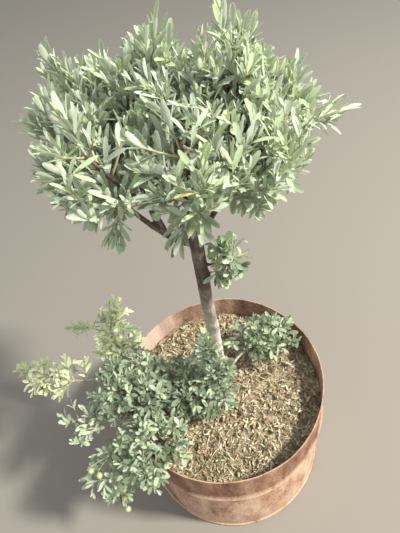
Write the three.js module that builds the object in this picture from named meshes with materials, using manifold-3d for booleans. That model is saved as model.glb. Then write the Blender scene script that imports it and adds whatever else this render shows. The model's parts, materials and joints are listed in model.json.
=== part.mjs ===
// A young olive tree in the lower half of a rusted 200-litre steel drum.
// One slim trunk rises from the middle of the drum to a vase of boughs with a broad silvery crown.
// Low boughs from the trunk's foot carry small-leaved basal shoots, most of them over the left of the rim.
// Millimetres, +Z up. The origin is the centre of the drum's flat underside, and -Y is the front.

import * as THREE from "three";
import { mergeVertices } from "three/addons/utils/BufferGeometryUtils.js";
import Module from "manifold-3d";

const wasm = await Module();
wasm.setup();

// The drum: half of a drum 585 mm across, with a rolling hoop a third of the whole drum's height up.
const DRUM_RADIUS = 292.5;
const DRUM_HEIGHT = 426;
const DRUM_WALL = 3;
const DRUM_SEGMENTS = 36;
const HOOP_HEIGHT = 293;
const HOOP_HALF = 11;
const HOOP_OUT = 7;
const CHIME_OUT = 4;
const CHIME_TOP = 14;
const CHIME_CHAMFER = 4;
const RIM_WAVES = [
  { count: 2, high: 3.5, phase: 0.6 },
  { count: 5, high: 2, phase: 2.1 },
];
const RIM_MOST = 6;

// The soil: a slightly mounded fill, flat at the middle where the trunk stands. Its slope breaks at a share of
// its radius.
const SOIL_TOP = 365;
const SOIL_EDGE = 348;
const SOIL_FLAT_RADIUS = 62;
const SOIL_BREAK = { share: 0.6, rise: 9 };

// What is left free between two solids, and the finest detail that a solid keeps.
const GAP = 0.3;
const FINEST = 0.12;

// The trunk: from a flat cut on the soil, with a flare, to the fork.
const FORK_HEIGHT = 985;
const TRUNK_RADIUS = 17;
const TRUNK_TOP_RADIUS = 14.2;
const FLARE_RADIUS = 27;
const FLARE_HEIGHT = 75;
const FLARE_CURVE = 2;
const TRUNK_RINGS = 14;
const RING_CROWDING = 1.3;
const TRUNK_SIDES = 10;
const TRUNK_SWAY = [
  { turns: 0.55, x: 0, y: 5 },
  { turns: 1.3, x: 2, y: 3 },
];

// Boughs: the place of the point that bends one, as a share of its reach, and how far it follows its parent.
const BOUGH_SIDES = 6;
const BOUGH_RINGS = 5;
const BOUGH_BEND = 0.45;
const BOUGH_FOLLOW = 0.06;

// Stems: each runs from its bough's tip past the middle of its mass, and starts out straight.
const STEM_SIDES = 4;
const STEM_RINGS = 3;
const STEM_RADII = [4, 3.4];
const STEM_PAST = 0.35;
const STEM_STRAIGHT = 0.4;

// Twigs: each leaves its stem at a slant within a range of the stem, and ends at a share of its mass's reach.
// One that is in the way of something is tried again, shorter or lifted, down to a few internodes.
const TWIG_SIDES = 3;
const TWIG_RADII = [2.2, 1.9];
const TWIG_SHARE = 0.8;
const TWIG_RANGE = [0.14, 0.97];
const TWIG_SLANT = 0.5;
const STEM_BEYOND = 1.2;
const TWIG_SHORTEST = 1.5;
const TWIG_TRIES = [
  { share: 1, lift: 0 },
  { share: 0.86, lift: 0 },
  { share: 0.9, lift: 0.4 },
  { share: 0.7, lift: 0 },
  { share: 0.7, lift: 0.5 },
  { share: 0.55, lift: 0 },
  { share: 0.42, lift: 0.3 },
  { share: 0.36, lift: 0 },
];
const CROWN_TWIGS = 9;
const BASAL_TWIGS = 6;
const TWIG_RISE = 0.5;
const TIP_BACK = 5;

// Room: the step by which a twig is walked to test it, how near its root it may touch bark, and what it leaves.
const WALK_STEP = 6;
const NEAR_ROOT = 12;
const MASS_MARGIN = 1;
const LIMB_CLEARANCE = 1.5;
const DRUM_CLEARANCE = 4;

// A direction this near an axis takes another axis for its side.
const STEEP = 0.9;

// Seeds: each mass has its own run of them, with the shoots' in its second half.
const SEEDS_PER_MASS = 1000;
const SHOOT_SEEDS = 500;

// Leaves and fruit. Both leaf kinds are larger than life, because there are fewer of them.
const CROWN_LEAF = { long: 66, wide: 21, thick: 1.8, internode: 21 };
const BASAL_LEAF = { long: 44, wide: 22, thick: 1.6, internode: 21 };
const LEAF_SINK = 0.5;
const LEAF_WIDEST = 0.44;
const LEAF_TRIES = [1, 0.82, 0.66];
const LEAF_RANGE = [0.8, 1.08];
const LEAF_OVERHANG = 1.08;
// Leaves lie close at a twig's tip and stand off further down, over so many pairs.
const LEAF_SPREAD = [0.42, 0.95];
const SPREAD_PAIRS = 4;
const SPREAD_NOISE = 0.15;
// Where a leaf is kept off the bark: places along its midrib, and the share of its half width there.
const MIDRIB = [
  { share: 0.3, width: 0.7 },
  { share: 0.5, width: 1 },
  { share: 0.7, width: 0.6 },
  { share: 0.9, width: 0.2 },
];
const OLIVE_LENGTH = 20;
const OLIVE_WIDTH = 16;
const OLIVE_SEGMENTS = [6, 4];
const OLIVE_STALK = 12;
const STALK_RADIUS = 1.4;
const STALK_SINK = 3;

// Boughs: each leaves its parent at a share of the parent's length, arches, and ends where its mass begins.
// lift is how strongly it rises as it leaves, as a share of its reach.
const BOUGHS = [
  { name: "bough_left", parent: "trunk", at: 0.985, tip: [-108, -12, 1104], radii: [8.5, 4.6], lift: -0.3 },
  { name: "bough_right", parent: "trunk", at: 0.97, tip: [94, 6, 1104], radii: [7.5, 4.4], lift: 0.1 },
  { name: "bough_back", parent: "trunk", at: 0.955, tip: [-8, 90, 1116], radii: [7, 4.2], lift: 0.12 },
  { name: "bough_front", parent: "trunk", at: 0.99, tip: [4, -76, 1150], radii: [7, 4.2], lift: 0.2 },
  { name: "leader", parent: "trunk", at: 1, tip: [48, 10, 1184], radii: [10, 5.4], lift: 0.4 },
  { name: "leader_left", parent: "leader", at: 0.45, tip: [-24, 16, 1204], radii: [5.6, 4.2], lift: 0.3 },
  { name: "bough_left_front", parent: "bough_left", at: 0.5, tip: [-78, -72, 1164], radii: [5, 4], lift: 0.3 },
  { name: "bough_left_back", parent: "bough_left", at: 0.62, tip: [-96, 72, 1162], radii: [5, 4], lift: 0.25 },
  { name: "bough_right_front", parent: "bough_right", at: 0.5, tip: [78, -66, 1134], radii: [5, 4], lift: 0.25 },
  { name: "bough_right_back", parent: "bough_right", at: 0.6, tip: [88, 84, 1136], radii: [5, 4], lift: 0.25 },
  { name: "low_bough_left", parent: "trunk", at: 0.06, tip: [-344, -88, 468], radii: [9, 5.5], lift: 0.24 },
  { name: "low_bough_back", parent: "trunk", at: 0.05, tip: [-226, 66, 486], radii: [8, 4.6], lift: 0.2 },
  { name: "low_bough_far", parent: "low_bough_back", at: 0.72, tip: [-352, 36, 486], radii: [5, 4], lift: 0.1 },
  { name: "low_bough_rim", parent: "low_bough_left", at: 0.5, tip: [-212, -52, 474], radii: [5, 4], lift: 0.3 },
  { name: "low_bough_hanging", parent: "low_bough_left", at: 0.74, tip: [-316, -138, 442], radii: [5, 4], lift: 0.1 },
  { name: "low_bough_front", parent: "trunk", at: 0.04, tip: [-138, -142, 436], radii: [7, 4.2], lift: 0.2 },
  { name: "low_bough_foot", parent: "trunk", at: 0.09, tip: [-34, -30, 432], radii: [4.6, 4], lift: 0.4 },
  { name: "low_bough_right", parent: "trunk", at: 0.05, tip: [76, 66, 424], radii: [5.5, 4], lift: 0.3 },
];

// Masses: each fills an ellipsoid round its middle, as far as its neighbours leave room, and grows from its
// bough's tip, or from the side of its limb at a share of the limb's length. A shoot is a long twig that ends
// at a named point.
const MASSES = [
  { name: "crown_left", bough: "bough_left", middle: [-150, 4, 1200], size: [80, 94, 118], olives: 3,
    shoots: [[-184, -30, 1128], [-148, -24, 1056], [-212, 2, 1270], [-176, 6, 1304]] },
  { name: "crown_left_front", bough: "bough_left_front", middle: [-114, -98, 1246], size: [90, 84, 82],
    twigs: 11, shoots: [[-140, -88, 1316]] },
  { name: "crown_front", bough: "bough_front", middle: [4, -122, 1250], size: [92, 84, 80],
    twigs: 12, shoots: [[14, -70, 1084]] },
  { name: "crown_right_front", bough: "bough_right_front", middle: [98, -92, 1216], size: [88, 86, 88],
    twigs: 10, shoots: [[100, -60, 1100]] },
  { name: "crown_right", bough: "bough_right", middle: [146, 4, 1192], size: [80, 92, 116],
    shoots: [[262, 2, 1204], [194, 14, 1272], [212, 0, 1238], [112, -16, 1072]] },
  { name: "crown_right_back", bough: "bough_right_back", middle: [112, 116, 1198], size: [92, 90, 106],
    shoots: [[162, 70, 1276], [176, 112, 1250]] },
  { name: "crown_back", bough: "bough_back", middle: [-6, 148, 1200], size: [94, 86, 108],
    shoots: [[34, 84, 1298]] },
  { name: "crown_left_back", bough: "bough_left_back", middle: [-126, 112, 1212], size: [92, 88, 104],
    shoots: [[-170, 64, 1338], [-92, 84, 1312]] },
  { name: "crown_top_right", bough: "leader", middle: [84, 4, 1270], size: [60, 80, 104],
    shoots: [[90, 0, 1372], [118, 4, 1356], [56, -8, 1312]] },
  { name: "crown_top_left", bough: "leader_left", middle: [-28, 6, 1262], size: [64, 82, 100],
    shoots: [[-4, 2, 1372], [-74, 0, 1334], [-32, 30, 1340]] },
  { name: "trunk_sprout", bough: "trunk", side: 0.9, middle: [60, -6, 922], size: [54, 42, 58],
    basal: true, shoots: [[82, -8, 926], [34, -12, 874]] },
  { name: "low_left", bough: "low_bough_left", middle: [-398, -82, 478], size: [66, 66, 56], basal: true,
    shoots: [[-436, -80, 474]] },
  { name: "low_hanging", bough: "low_bough_hanging", middle: [-338, -200, 372], size: [86, 80, 102],
    basal: true, rise: -0.2, twigs: 4, olives: 6,
    shoots: [[-364, -234, 302], [-322, -244, 316], [-396, -172, 362], [-304, -230, 380]] },
  { name: "low_back", bough: "low_bough_back", middle: [-288, 142, 560], size: [90, 82, 100], basal: true,
    twigs: 5, shoots: [[-258, 166, 650], [-410, 168, 566]] },
  { name: "low_far", bough: "low_bough_far", middle: [-478, 66, 500], size: [140, 58, 50], basal: true,
    shoots: [[-600, 112, 500]] },
  { name: "low_rim", bough: "low_bough_rim", middle: [-244, -30, 508], size: [126, 112, 80], basal: true,
    twigs: 11, shoots: [] },
  { name: "low_front", bough: "low_bough_front", middle: [-204, -188, 468], size: [106, 102, 76], basal: true,
    twigs: 8, shoots: [[-202, -262, 462]] },
  { name: "low_foot", bough: "low_bough_foot", middle: [-64, -32, 464], size: [116, 104, 74], basal: true,
    twigs: 9, shoots: [[-32, -36, 690]] },
  { name: "low_right", bough: "low_bough_right", middle: [144, 98, 446], size: [124, 76, 56], basal: true,
    shoots: [[226, 120, 458]] },
];

const UP = new THREE.Vector3(0, 0, 1);
const vec = (x, y, z) => new THREE.Vector3(x, y, z);
const mix = THREE.MathUtils.lerp;
const clamp = THREE.MathUtils.clamp;
const count = (n) => Array.from({ length: n }, (_, i) => i);

const paint = (color, roughness, metalness = 0) =>
  new THREE.MeshStandardMaterial({ color, roughness, metalness, flatShading: true });
const RUST = paint("#7d5443", 0.85, 0.25);
const EARTH = paint("#9a8466", 0.95);
const BARK = paint("#77675a", 0.9);
const CROWN_GREEN = paint("#a9b68c", 0.6);
const BASAL_GREEN = paint("#86987a", 0.65);

/** Seeded random numbers from 0 to 1, by the minimal standard generator. Primes spread the seeds apart. */
function seeded(seed) {
  const modulus = 2147483647;
  const multiplier = 48271;
  const [step, offset] = [7919, 104729];
  let state = (seed * step + offset) % modulus;
  return () => {
    state = (state * multiplier) % modulus;
    return state / modulus;
  };
}

/** A solid from a closed three.js geometry, its flat triangles dropped and its faces turned out. */
function solidFrom(geometry) {
  const bare = new THREE.BufferGeometry().setAttribute("position", geometry.getAttribute("position"));
  bare.setIndex(geometry.index);
  const merged = mergeVertices(bare, 1e-3);
  const triangles = [];
  for (let i = 0; i < merged.index.count; i += 3) {
    const [a, b, c] = [0, 1, 2].map((k) => merged.index.getX(i + k));
    if (a !== b && b !== c && c !== a) triangles.push([a, b, c]);
  }
  const made = (order) =>
    new wasm.Manifold(
      new wasm.Mesh({
        numProp: 3,
        vertProperties: merged.attributes.position.array,
        triVerts: new Uint32Array(triangles.flatMap(order)),
      }),
    );
  const solid = made((t) => t);
  return solid.volume() > 0 ? solid : made(([a, b, c]) => [a, c, b]);
}

/** The largest piece of a joined or cut solid, without loose scraps and needless corners. */
const tidied = (solid) =>
  solid.decompose().sort((a, b) => b.volume() - a.volume())[0].asOriginal().simplify(FINEST);

/** A named mesh from a solid. */
function meshFrom(name, solid, material) {
  const { vertProperties, triVerts } = solid.getMesh();
  const geometry = new THREE.BufferGeometry();
  geometry.setAttribute("position", new THREE.BufferAttribute(new Float32Array(vertProperties), 3));
  geometry.setIndex(new THREE.BufferAttribute(new Uint32Array(triVerts), 1));
  geometry.computeVertexNormals();
  const mesh = new THREE.Mesh(geometry, material);
  mesh.name = name;
  return mesh;
}

/** Points on the curve from a to b that a third point c pulls towards itself. */
function arch(a, c, b, steps) {
  const curve = new THREE.QuadraticBezierCurve3(a, c, b);
  return count(steps + 1).map((i) => curve.getPoint(i / steps));
}

/** The direction of a row of points at each of them. */
function tangents(points) {
  const last = points.length - 1;
  return points.map((_, i) =>
    points[Math.min(i + 1, last)].clone().sub(points[Math.max(i - 1, 0)]).normalize(),
  );
}

/** The unit vector square to a direction that lies nearest to a given one. */
const squareTo = (direction, nearest) =>
  nearest.clone().addScaledVector(direction, -nearest.dot(direction)).normalize();

/** The unit vector square to a direction at an angle round it, from the one that points most nearly up. */
function sideOf(direction, angle) {
  const a = squareTo(direction, Math.abs(direction.z) < STEEP ? UP : vec(1, 0, 0));
  const b = a.clone().cross(direction);
  return a.multiplyScalar(Math.cos(angle)).addScaledVector(b, Math.sin(angle));
}

/** The point at a share of a row of points, and the direction there. */
function along(points, share) {
  const last = points.length - 1;
  const i = Math.min(Math.floor(share * last), last - 1);
  return {
    point: points[i].clone().lerp(points[i + 1], share * last - i),
    direction: points[i + 1].clone().sub(points[i]).normalize(),
  };
}

/** A closed limb's solid along a row of points: a lathe with one ring for each point, bent to them. */
function limbSolid({ points, radii, sides, corner, start }, fatter = 0) {
  const last = points.length - 1;
  const profile = [vec(0, 0, 0), ...radii.map((r, i) => vec(r + fatter, i, 0)), vec(0, last, 0)];
  const geometry = new THREE.LatheGeometry(profile, sides);
  const directions = tangents(points);
  directions[0] = start ?? directions[0];
  let normal = corner ?? (Math.abs(directions[0].x) < STEEP ? vec(1, 0, 0) : vec(0, 1, 0));
  const frames = directions.map((direction) => {
    normal = squareTo(direction, normal);
    return { normal, across: normal.clone().cross(direction) };
  });
  const position = geometry.getAttribute("position");
  for (let i = 0; i < position.count; i++) {
    const ring = Math.round(position.getY(i));
    const place = points[ring]
      .clone()
      .addScaledVector(frames[ring].normal, position.getX(i))
      .addScaledVector(frames[ring].across, position.getZ(i));
    position.setXYZ(i, place.x, place.y, place.z);
  }
  return solidFrom(geometry);
}

/** The shortest distance from a point to a limb's bark. */
function distanceToLimb(point, limb) {
  let best = Infinity;
  for (let i = 1; i < limb.points.length; i++) {
    const a = limb.points[i - 1];
    const ab = limb.points[i].clone().sub(a);
    const t = clamp(point.clone().sub(a).dot(ab) / ab.lengthSq(), 0, 1);
    const radius = mix(limb.radii[i - 1], limb.radii[i], t);
    best = Math.min(best, point.distanceTo(a.clone().addScaledVector(ab, t)) - radius);
  }
  return best;
}

/** How far a point of the rim stands above or below the drum's stated height. */
const rimWave = (angle) =>
  RIM_WAVES.reduce((sum, wave) => sum + wave.high * Math.sin(wave.count * angle + wave.phase), 0);

/** A solid of revolution about Z, from pairs of radius and height. */
function turned(profile, adjust = () => {}) {
  const geometry = new THREE.LatheGeometry(profile.map(([r, z]) => vec(r, z, 0)), DRUM_SEGMENTS);
  geometry.rotateX(Math.PI / 2);
  adjust(geometry.getAttribute("position"));
  return solidFrom(geometry);
}

/** The drum: its wall, hoop, chime and floor, with an uneven cut rim. */
function makeDrum() {
  const outer = DRUM_RADIUS;
  const inner = DRUM_RADIUS - DRUM_WALL;
  const hoop = (radius) => [
    [radius, HOOP_HEIGHT - HOOP_HALF],
    [radius + HOOP_OUT, HOOP_HEIGHT],
    [radius, HOOP_HEIGHT + HOOP_HALF],
  ];
  const profile = [
    [0, 0],
    [outer + CHIME_OUT, 0],
    [outer + CHIME_OUT, CHIME_TOP - CHIME_CHAMFER],
    [outer, CHIME_TOP],
    ...hoop(outer),
    [outer, DRUM_HEIGHT],
    [inner, DRUM_HEIGHT],
    ...hoop(inner).reverse(),
    [inner, DRUM_WALL],
    [0, DRUM_WALL],
  ];
  return turned(profile, (position) => {
    for (const i of count(position.count))
      if (Math.round(position.getZ(i)) === DRUM_HEIGHT)
        position.setZ(i, DRUM_HEIGHT + rimWave(Math.atan2(position.getY(i), position.getX(i))));
  });
}

/** The soil: it rests inside the drum and rises to a flat middle. */
function makeSoil() {
  const radius = DRUM_RADIUS - DRUM_WALL - GAP;
  const floor = DRUM_WALL + GAP;
  return turned([
    [0, floor],
    [radius, floor],
    [radius, SOIL_EDGE],
    [radius * SOIL_BREAK.share, SOIL_EDGE + SOIL_BREAK.rise],
    [SOIL_FLAT_RADIUS, SOIL_TOP],
    [0, SOIL_TOP],
  ]);
}

/** The trunk's rings: a gentle sway, and a flare at the foot. */
function trunkLimb() {
  const foot = SOIL_TOP + GAP;
  const shares = count(TRUNK_RINGS + 1).map((i) => (i / TRUNK_RINGS) ** RING_CROWDING);
  const points = shares.map((t) =>
    TRUNK_SWAY.reduce((point, sway) => {
      const swing = Math.sin(Math.PI * sway.turns * t);
      return point.add(vec(sway.x * swing, sway.y * swing, 0));
    }, vec(0, 0, mix(foot, FORK_HEIGHT, t))),
  );
  const radii = shares.map((t, i) => {
    const flare = Math.max(0, 1 - (points[i].z - foot) / FLARE_HEIGHT) ** FLARE_CURVE;
    return mix(TRUNK_RADIUS, TRUNK_TOP_RADIUS, t) + flare * (FLARE_RADIUS - TRUNK_RADIUS);
  });
  return { points, radii, sides: TRUNK_SIDES, start: UP };
}

/** A bough's rings, from the middle of its parent to its tip. */
function boughLimb(spec, limbs) {
  const { point, direction } = along(limbs.get(spec.parent).points, spec.at);
  const tip = vec(...spec.tip);
  const reach = tip.distanceTo(point);
  const pull = point
    .clone()
    .lerp(tip, BOUGH_BEND)
    .addScaledVector(UP, spec.lift * reach)
    .addScaledVector(direction, BOUGH_FOLLOW * reach);
  const points = arch(point, pull, tip, BOUGH_RINGS);
  return { points, radii: points.map((_, i) => mix(...spec.radii, i / BOUGH_RINGS)), sides: BOUGH_SIDES };
}

/** How far an ellipsoid reaches from its middle in a direction. */
const reachOf = (size, direction) =>
  1 / Math.hypot(direction.x / size[0], direction.y / size[1], direction.z / size[2]);

/** Whether a point is clear of the drum and the soil. */
function clearOfDrum(point, thick) {
  const margin = thick + DRUM_CLEARANCE;
  const radius = Math.hypot(point.x, point.y);
  if (radius > DRUM_RADIUS + HOOP_OUT + margin) return point.z > margin;
  if (radius > DRUM_RADIUS - DRUM_WALL - margin) return point.z > DRUM_HEIGHT + RIM_MOST + margin;
  return point.z > SOIL_TOP + margin;
}

/** A mass's space: an ellipsoid, cut by a plane towards each neighbour. */
function spaceOf(mass, masses) {
  const middle = vec(...mass.middle);
  const planes = masses
    .filter((other) => other !== mass)
    .map((other) => {
      const towards = vec(...other.middle).sub(middle);
      const direction = towards.clone().normalize();
      const mine = reachOf(mass.size, direction);
      const theirs = reachOf(other.size, direction);
      return { direction, limit: (towards.length() * mine) / (mine + theirs) - MASS_MARGIN };
    });
  return {
    middle,
    inCell: (point, thick = 0) =>
      planes.every((p) => point.clone().sub(middle).dot(p.direction) < p.limit - thick) &&
      clearOfDrum(point, thick),
    inBody: (point, stretch = 1) => {
      const from = point.clone().sub(middle);
      return from.length() <= stretch * reachOf(mass.size, from.clone().normalize());
    },
  };
}

/** Directions spread evenly over a sphere, however many are taken, by two powers of the plastic number. */
function evenDirection(i) {
  const [aroundStep, upStep] = [0.7548776662, 0.569840291];
  const turn = 2 * Math.PI * (((i + 1) * aroundStep) % 1);
  const height = 1 - 2 * (((i + 1) * upStep) % 1);
  const flat = Math.sqrt(1 - height * height);
  return vec(flat * Math.cos(turn), flat * Math.sin(turn), height);
}

/** A leaf's corners: its root in the twig, its tip, and its two edges where it is widest. */
function leafCorners(root, direction, face, leaf, long) {
  const across = face.clone().cross(direction);
  const at = (forward, sideways, raised) =>
    root
      .clone()
      .addScaledVector(direction, forward)
      .addScaledVector(across, sideways)
      .addScaledVector(face, raised);
  const half = (leaf.wide * (long / leaf.long)) / 2;
  const widest = LEAF_WIDEST * long;
  return [at(-LEAF_SINK, 0, 0), at(long, 0, 0), at(widest, half, leaf.thick), at(widest, -half, leaf.thick)];
}

/** A leaf's solid: a blade folded along its midrib, from a tetrahedron moved to its corners. */
function leafSolid(corners) {
  const geometry = new THREE.TetrahedronGeometry(1, 0);
  const position = geometry.getAttribute("position");
  const signs = [[1, 1], [-1, -1], [-1, 1], [1, -1]];
  for (const i of count(position.count)) {
    const [x, y] = [Math.sign(position.getX(i)), Math.sign(position.getY(i))];
    const corner = corners[signs.findIndex(([sx, sy]) => sx === x && sy === y)];
    position.setXYZ(i, corner.x, corner.y, corner.z);
  }
  return solidFrom(geometry);
}

/** An olive and its short stalk, which hangs from a point. */
function oliveSolids(root) {
  const end = root.clone().addScaledVector(UP, -OLIVE_STALK);
  const fruit = new THREE.SphereGeometry(OLIVE_WIDTH / 2, ...OLIVE_SEGMENTS);
  fruit.rotateX(Math.PI / 2);
  fruit.scale(1, 1, OLIVE_LENGTH / OLIVE_WIDTH);
  fruit.translate(end.x, end.y, end.z - OLIVE_LENGTH / 2 + STALK_SINK);
  return [limbSolid({ points: [root, end], radii: [STALK_RADIUS, STALK_RADIUS], sides: TWIG_SIDES }), solidFrom(fruit)];
}

/** Where a mass's stem starts, clear of its bough's tip or of the trunk's side. */
function stemRoot(mass, limbs) {
  const limb = limbs.get(mass.bough);
  if (!mass.side) {
    const { point, direction } = along(limb.points, 1);
    return { root: point.addScaledVector(direction, GAP), direction };
  }
  const root = along(limb.points, mass.side).point;
  const direction = squareTo(UP, vec(...mass.middle).sub(root));
  while (distanceToLimb(root, limb) < GAP) root.addScaledVector(direction, GAP / 2);
  return { root, direction };
}

/** A piece of a mass: its solid, the box round it, and what it belongs to. */
function pieceOf(solid, host) {
  const { min, max } = solid.boundingBox();
  return { solid, host, box: new THREE.Box3(vec(...min), vec(...max)) };
}

/** Whether a piece crosses any other but those of its own hosts. */
const crosses = (piece, others, hosts) =>
  others.some(
    ({ solid, host, box }) =>
      !hosts.includes(host) && box.intersectsBox(piece.box) && !piece.solid.intersect(solid).isEmpty(),
  );

/** The longest straight twig from a stem towards a target that passes a test, or null. */
function twigPath(stem, target, shortest, passes) {
  const [root, far] = [stem[0], stem.at(-1)];
  const axis = far.clone().sub(root);
  const foot = clamp(target.clone().sub(root).dot(axis) / axis.lengthSq(), 0, STEM_BEYOND);
  const off = target.distanceTo(root.clone().addScaledVector(axis, foot));
  const from = along(stem, clamp(foot - (TWIG_SLANT * off) / axis.length(), ...TWIG_RANGE)).point;
  for (const { share, lift } of TWIG_TRIES) {
    const tip = from.clone().lerp(target, share);
    tip.addScaledVector(UP, lift * tip.distanceTo(from));
    const long = tip.distanceTo(from);
    if (long < shortest) return null;
    const points = [from, tip];
    const steps = Math.ceil(long / WALK_STEP);
    if (count(steps + 1).every((i) => passes(along(points, i / steps).point, i * WALK_STEP))) return { points, long };
  }
  return null;
}

/** Grows one mass: a stem, twigs to points spread over its space, and pairs of leaves along them. */
function growMass(mass, index, masses, limbs) {
  const leaf = mass.basal ? BASAL_LEAF : CROWN_LEAF;
  const space = spaceOf(mass, masses);
  const offLimbs = (point, thick) =>
    clearOfDrum(point, thick) &&
    [...limbs.values()].every((limb) => distanceToLimb(point, limb) > thick + LIMB_CLEARANCE);
  const { root, direction } = stemRoot(mass, limbs);
  const far = space.middle.clone().lerp(root, -STEM_PAST);
  const pull = root.clone().addScaledVector(direction, STEM_STRAIGHT * far.distanceTo(root));
  const stem = arch(root, pull, far, STEM_RINGS);
  const stemRadii = stem.map((_, i) => mix(...STEM_RADII, i / STEM_RINGS));
  const placed = [
    pieceOf(limbSolid({ points: stem, radii: stemRadii, sides: STEM_SIDES, start: direction }), stem),
  ];
  const bark = [...limbs.values()].map((limb) => pieceOf(limbSolid(limb, GAP / 2), limb));
  const twigs = [];

  const addTwig = (target, seed, free) => {
    const path = twigPath(stem, target, TWIG_SHORTEST * leaf.internode, (point, from) => {
      const clear = from < NEAR_ROOT || offLimbs(point, TWIG_RADII[0]);
      return clear && space.inCell(point, TWIG_RADII[0]) && (free || space.inBody(point));
    });
    if (!path) return;
    const random = seeded(seed);
    const phase = random() * Math.PI;
    const pairs = count(Math.round((path.long - TIP_BACK) / leaf.internode)).map((k) => ({
      ...along(path.points, clamp(1 - (TIP_BACK + k * leaf.internode) / path.long, 0, 1)),
      turn: phase + (k * Math.PI) / 2,
      spread: mix(...LEAF_SPREAD, Math.min(1, k / SPREAD_PAIRS)) + SPREAD_NOISE * (random() - 0.5),
      long: leaf.long * mix(...LEAF_RANGE, random()),
    }));
    const twig = { pairs, free };
    const corner = sideOf(pairs[0].direction, phase);
    const wood = limbSolid({ points: path.points, radii: TWIG_RADII, sides: TWIG_SIDES, corner });
    const piece = pieceOf(wood, twig);
    if (crosses(piece, bark, [])) return;
    twigs.push(twig);
    placed.push(piece);
  };

  const addLeaf = (twig, pair, turn) => {
    const side = sideOf(pair.direction, turn);
    const [c, s] = [Math.cos(pair.spread), Math.sin(pair.spread)];
    const out = pair.direction.clone().multiplyScalar(c).addScaledVector(side, s);
    const face = pair.direction.clone().multiplyScalar(s).addScaledVector(side, -c);
    for (const share of LEAF_TRIES) {
      const long = pair.long * share;
      const half = (leaf.wide * (long / leaf.long)) / 2;
      const corners = leafCorners(pair.point, out, face, leaf, long);
      const inside =
        corners.every((corner) => space.inCell(corner)) &&
        (twig.free || space.inBody(corners[1], LEAF_OVERHANG));
      const clear = ({ share: at, width }) =>
        offLimbs(pair.point.clone().addScaledVector(out, at * long), half * width);
      if (!inside || !MIDRIB.every(clear)) continue;
      const blade = pieceOf(leafSolid(corners), pair);
      if (crosses(blade, placed, [twig, pair]) || crosses(blade, bark, [])) continue;
      placed.push(blade);
      return 1;
    }
    return 0;
  };

  mass.shoots.forEach((tip, i) => addTwig(vec(...tip), index * SEEDS_PER_MASS + SHOOT_SEEDS + i, true));
  for (const i of count(mass.twigs ?? (mass.basal ? BASAL_TWIGS : CROWN_TWIGS))) {
    const aim = evenDirection(i + index).addScaledVector(UP, mass.rise ?? TWIG_RISE).normalize();
    const target = space.middle.clone().addScaledVector(aim, TWIG_SHARE * reachOf(mass.size, aim));
    addTwig(target, index * SEEDS_PER_MASS + i, false);
  }
  let leaves = 0;
  for (const k of count(Math.max(...twigs.map((twig) => twig.pairs.length))))
    for (const twig of twigs.filter(({ pairs }) => k < pairs.length)) {
      const pair = twig.pairs[k];
      leaves += addLeaf(twig, pair, pair.turn) + addLeaf(twig, pair, pair.turn + Math.PI);
    }

  const hangs = ({ free, pairs }) => {
    if (!free || pairs.length < 2) return false;
    const heights = [0, OLIVE_LENGTH / 2, OLIVE_LENGTH - STALK_SINK].map((down) => OLIVE_STALK + down);
    const places = heights.map((down) => pairs[1].point.clone().addScaledVector(UP, -down));
    return places.every((place) => space.inCell(place, OLIVE_WIDTH / 2) && offLimbs(place, OLIVE_WIDTH / 2));
  };
  const hangers = twigs.filter(hangs).slice(0, mass.olives ?? 0);
  const fruit = hangers.flatMap((twig) => oliveSolids(twig.pairs[1].point));
  const solid = tidied(wasm.Manifold.union([...placed.map((piece) => piece.solid), ...fruit]));
  const mesh = meshFrom(mass.name, solid, mass.basal ? BASAL_GREEN : CROWN_GREEN);
  mesh.userData = { twigs: twigs.length, leaves, olives: hangers.length };
  return mesh;
}

const tree = new THREE.Group();
tree.add(meshFrom("drum", tidied(makeDrum()), RUST), meshFrom("soil", tidied(makeSoil()), EARTH));

const limbs = new Map([["trunk", trunkLimb()]]);
tree.add(meshFrom("trunk", tidied(limbSolid(limbs.get("trunk"))), BARK));
for (const spec of BOUGHS) {
  const limb = boughLimb(spec, limbs);
  const others = wasm.Manifold.union([...limbs.values()].map((other) => limbSolid(other, GAP)));
  tree.add(meshFrom(spec.name, tidied(limbSolid(limb).subtract(others)), BARK));
  limbs.set(spec.name, limb);
}
MASSES.forEach((mass, i) => tree.add(growMass(mass, i + 1, MASSES, limbs)));

export default tree;
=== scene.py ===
"""A young olive tree in half a rusted steel drum: its looks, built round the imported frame.

Sizes are in millimetres in the tree's own frame, and turn into metres where a mesh is made. The tree grows by
the same seeded rule as the solids, carried on to finer shoots and to leaves of life size.
"""

import json
import logging
import math
from dataclasses import dataclass, field
from enum import Enum

import bpy
import numpy as np
from mathutils import Matrix, Vector, noise

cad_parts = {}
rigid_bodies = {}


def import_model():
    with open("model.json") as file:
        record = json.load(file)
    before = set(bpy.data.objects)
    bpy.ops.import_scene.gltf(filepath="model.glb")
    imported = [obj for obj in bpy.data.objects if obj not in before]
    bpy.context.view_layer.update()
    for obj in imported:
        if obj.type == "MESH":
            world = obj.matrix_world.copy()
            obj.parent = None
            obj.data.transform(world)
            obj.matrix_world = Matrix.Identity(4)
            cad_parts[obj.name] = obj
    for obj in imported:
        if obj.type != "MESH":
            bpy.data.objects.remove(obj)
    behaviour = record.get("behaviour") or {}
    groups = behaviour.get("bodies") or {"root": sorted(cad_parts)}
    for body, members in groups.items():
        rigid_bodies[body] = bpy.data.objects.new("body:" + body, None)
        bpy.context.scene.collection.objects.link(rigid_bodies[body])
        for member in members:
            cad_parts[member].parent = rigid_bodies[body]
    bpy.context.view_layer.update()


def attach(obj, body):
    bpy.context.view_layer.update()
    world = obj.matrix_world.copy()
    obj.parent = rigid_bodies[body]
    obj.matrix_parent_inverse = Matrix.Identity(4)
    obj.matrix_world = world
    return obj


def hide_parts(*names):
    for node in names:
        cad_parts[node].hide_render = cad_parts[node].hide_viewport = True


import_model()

log = logging.getLogger("olive")
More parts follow.
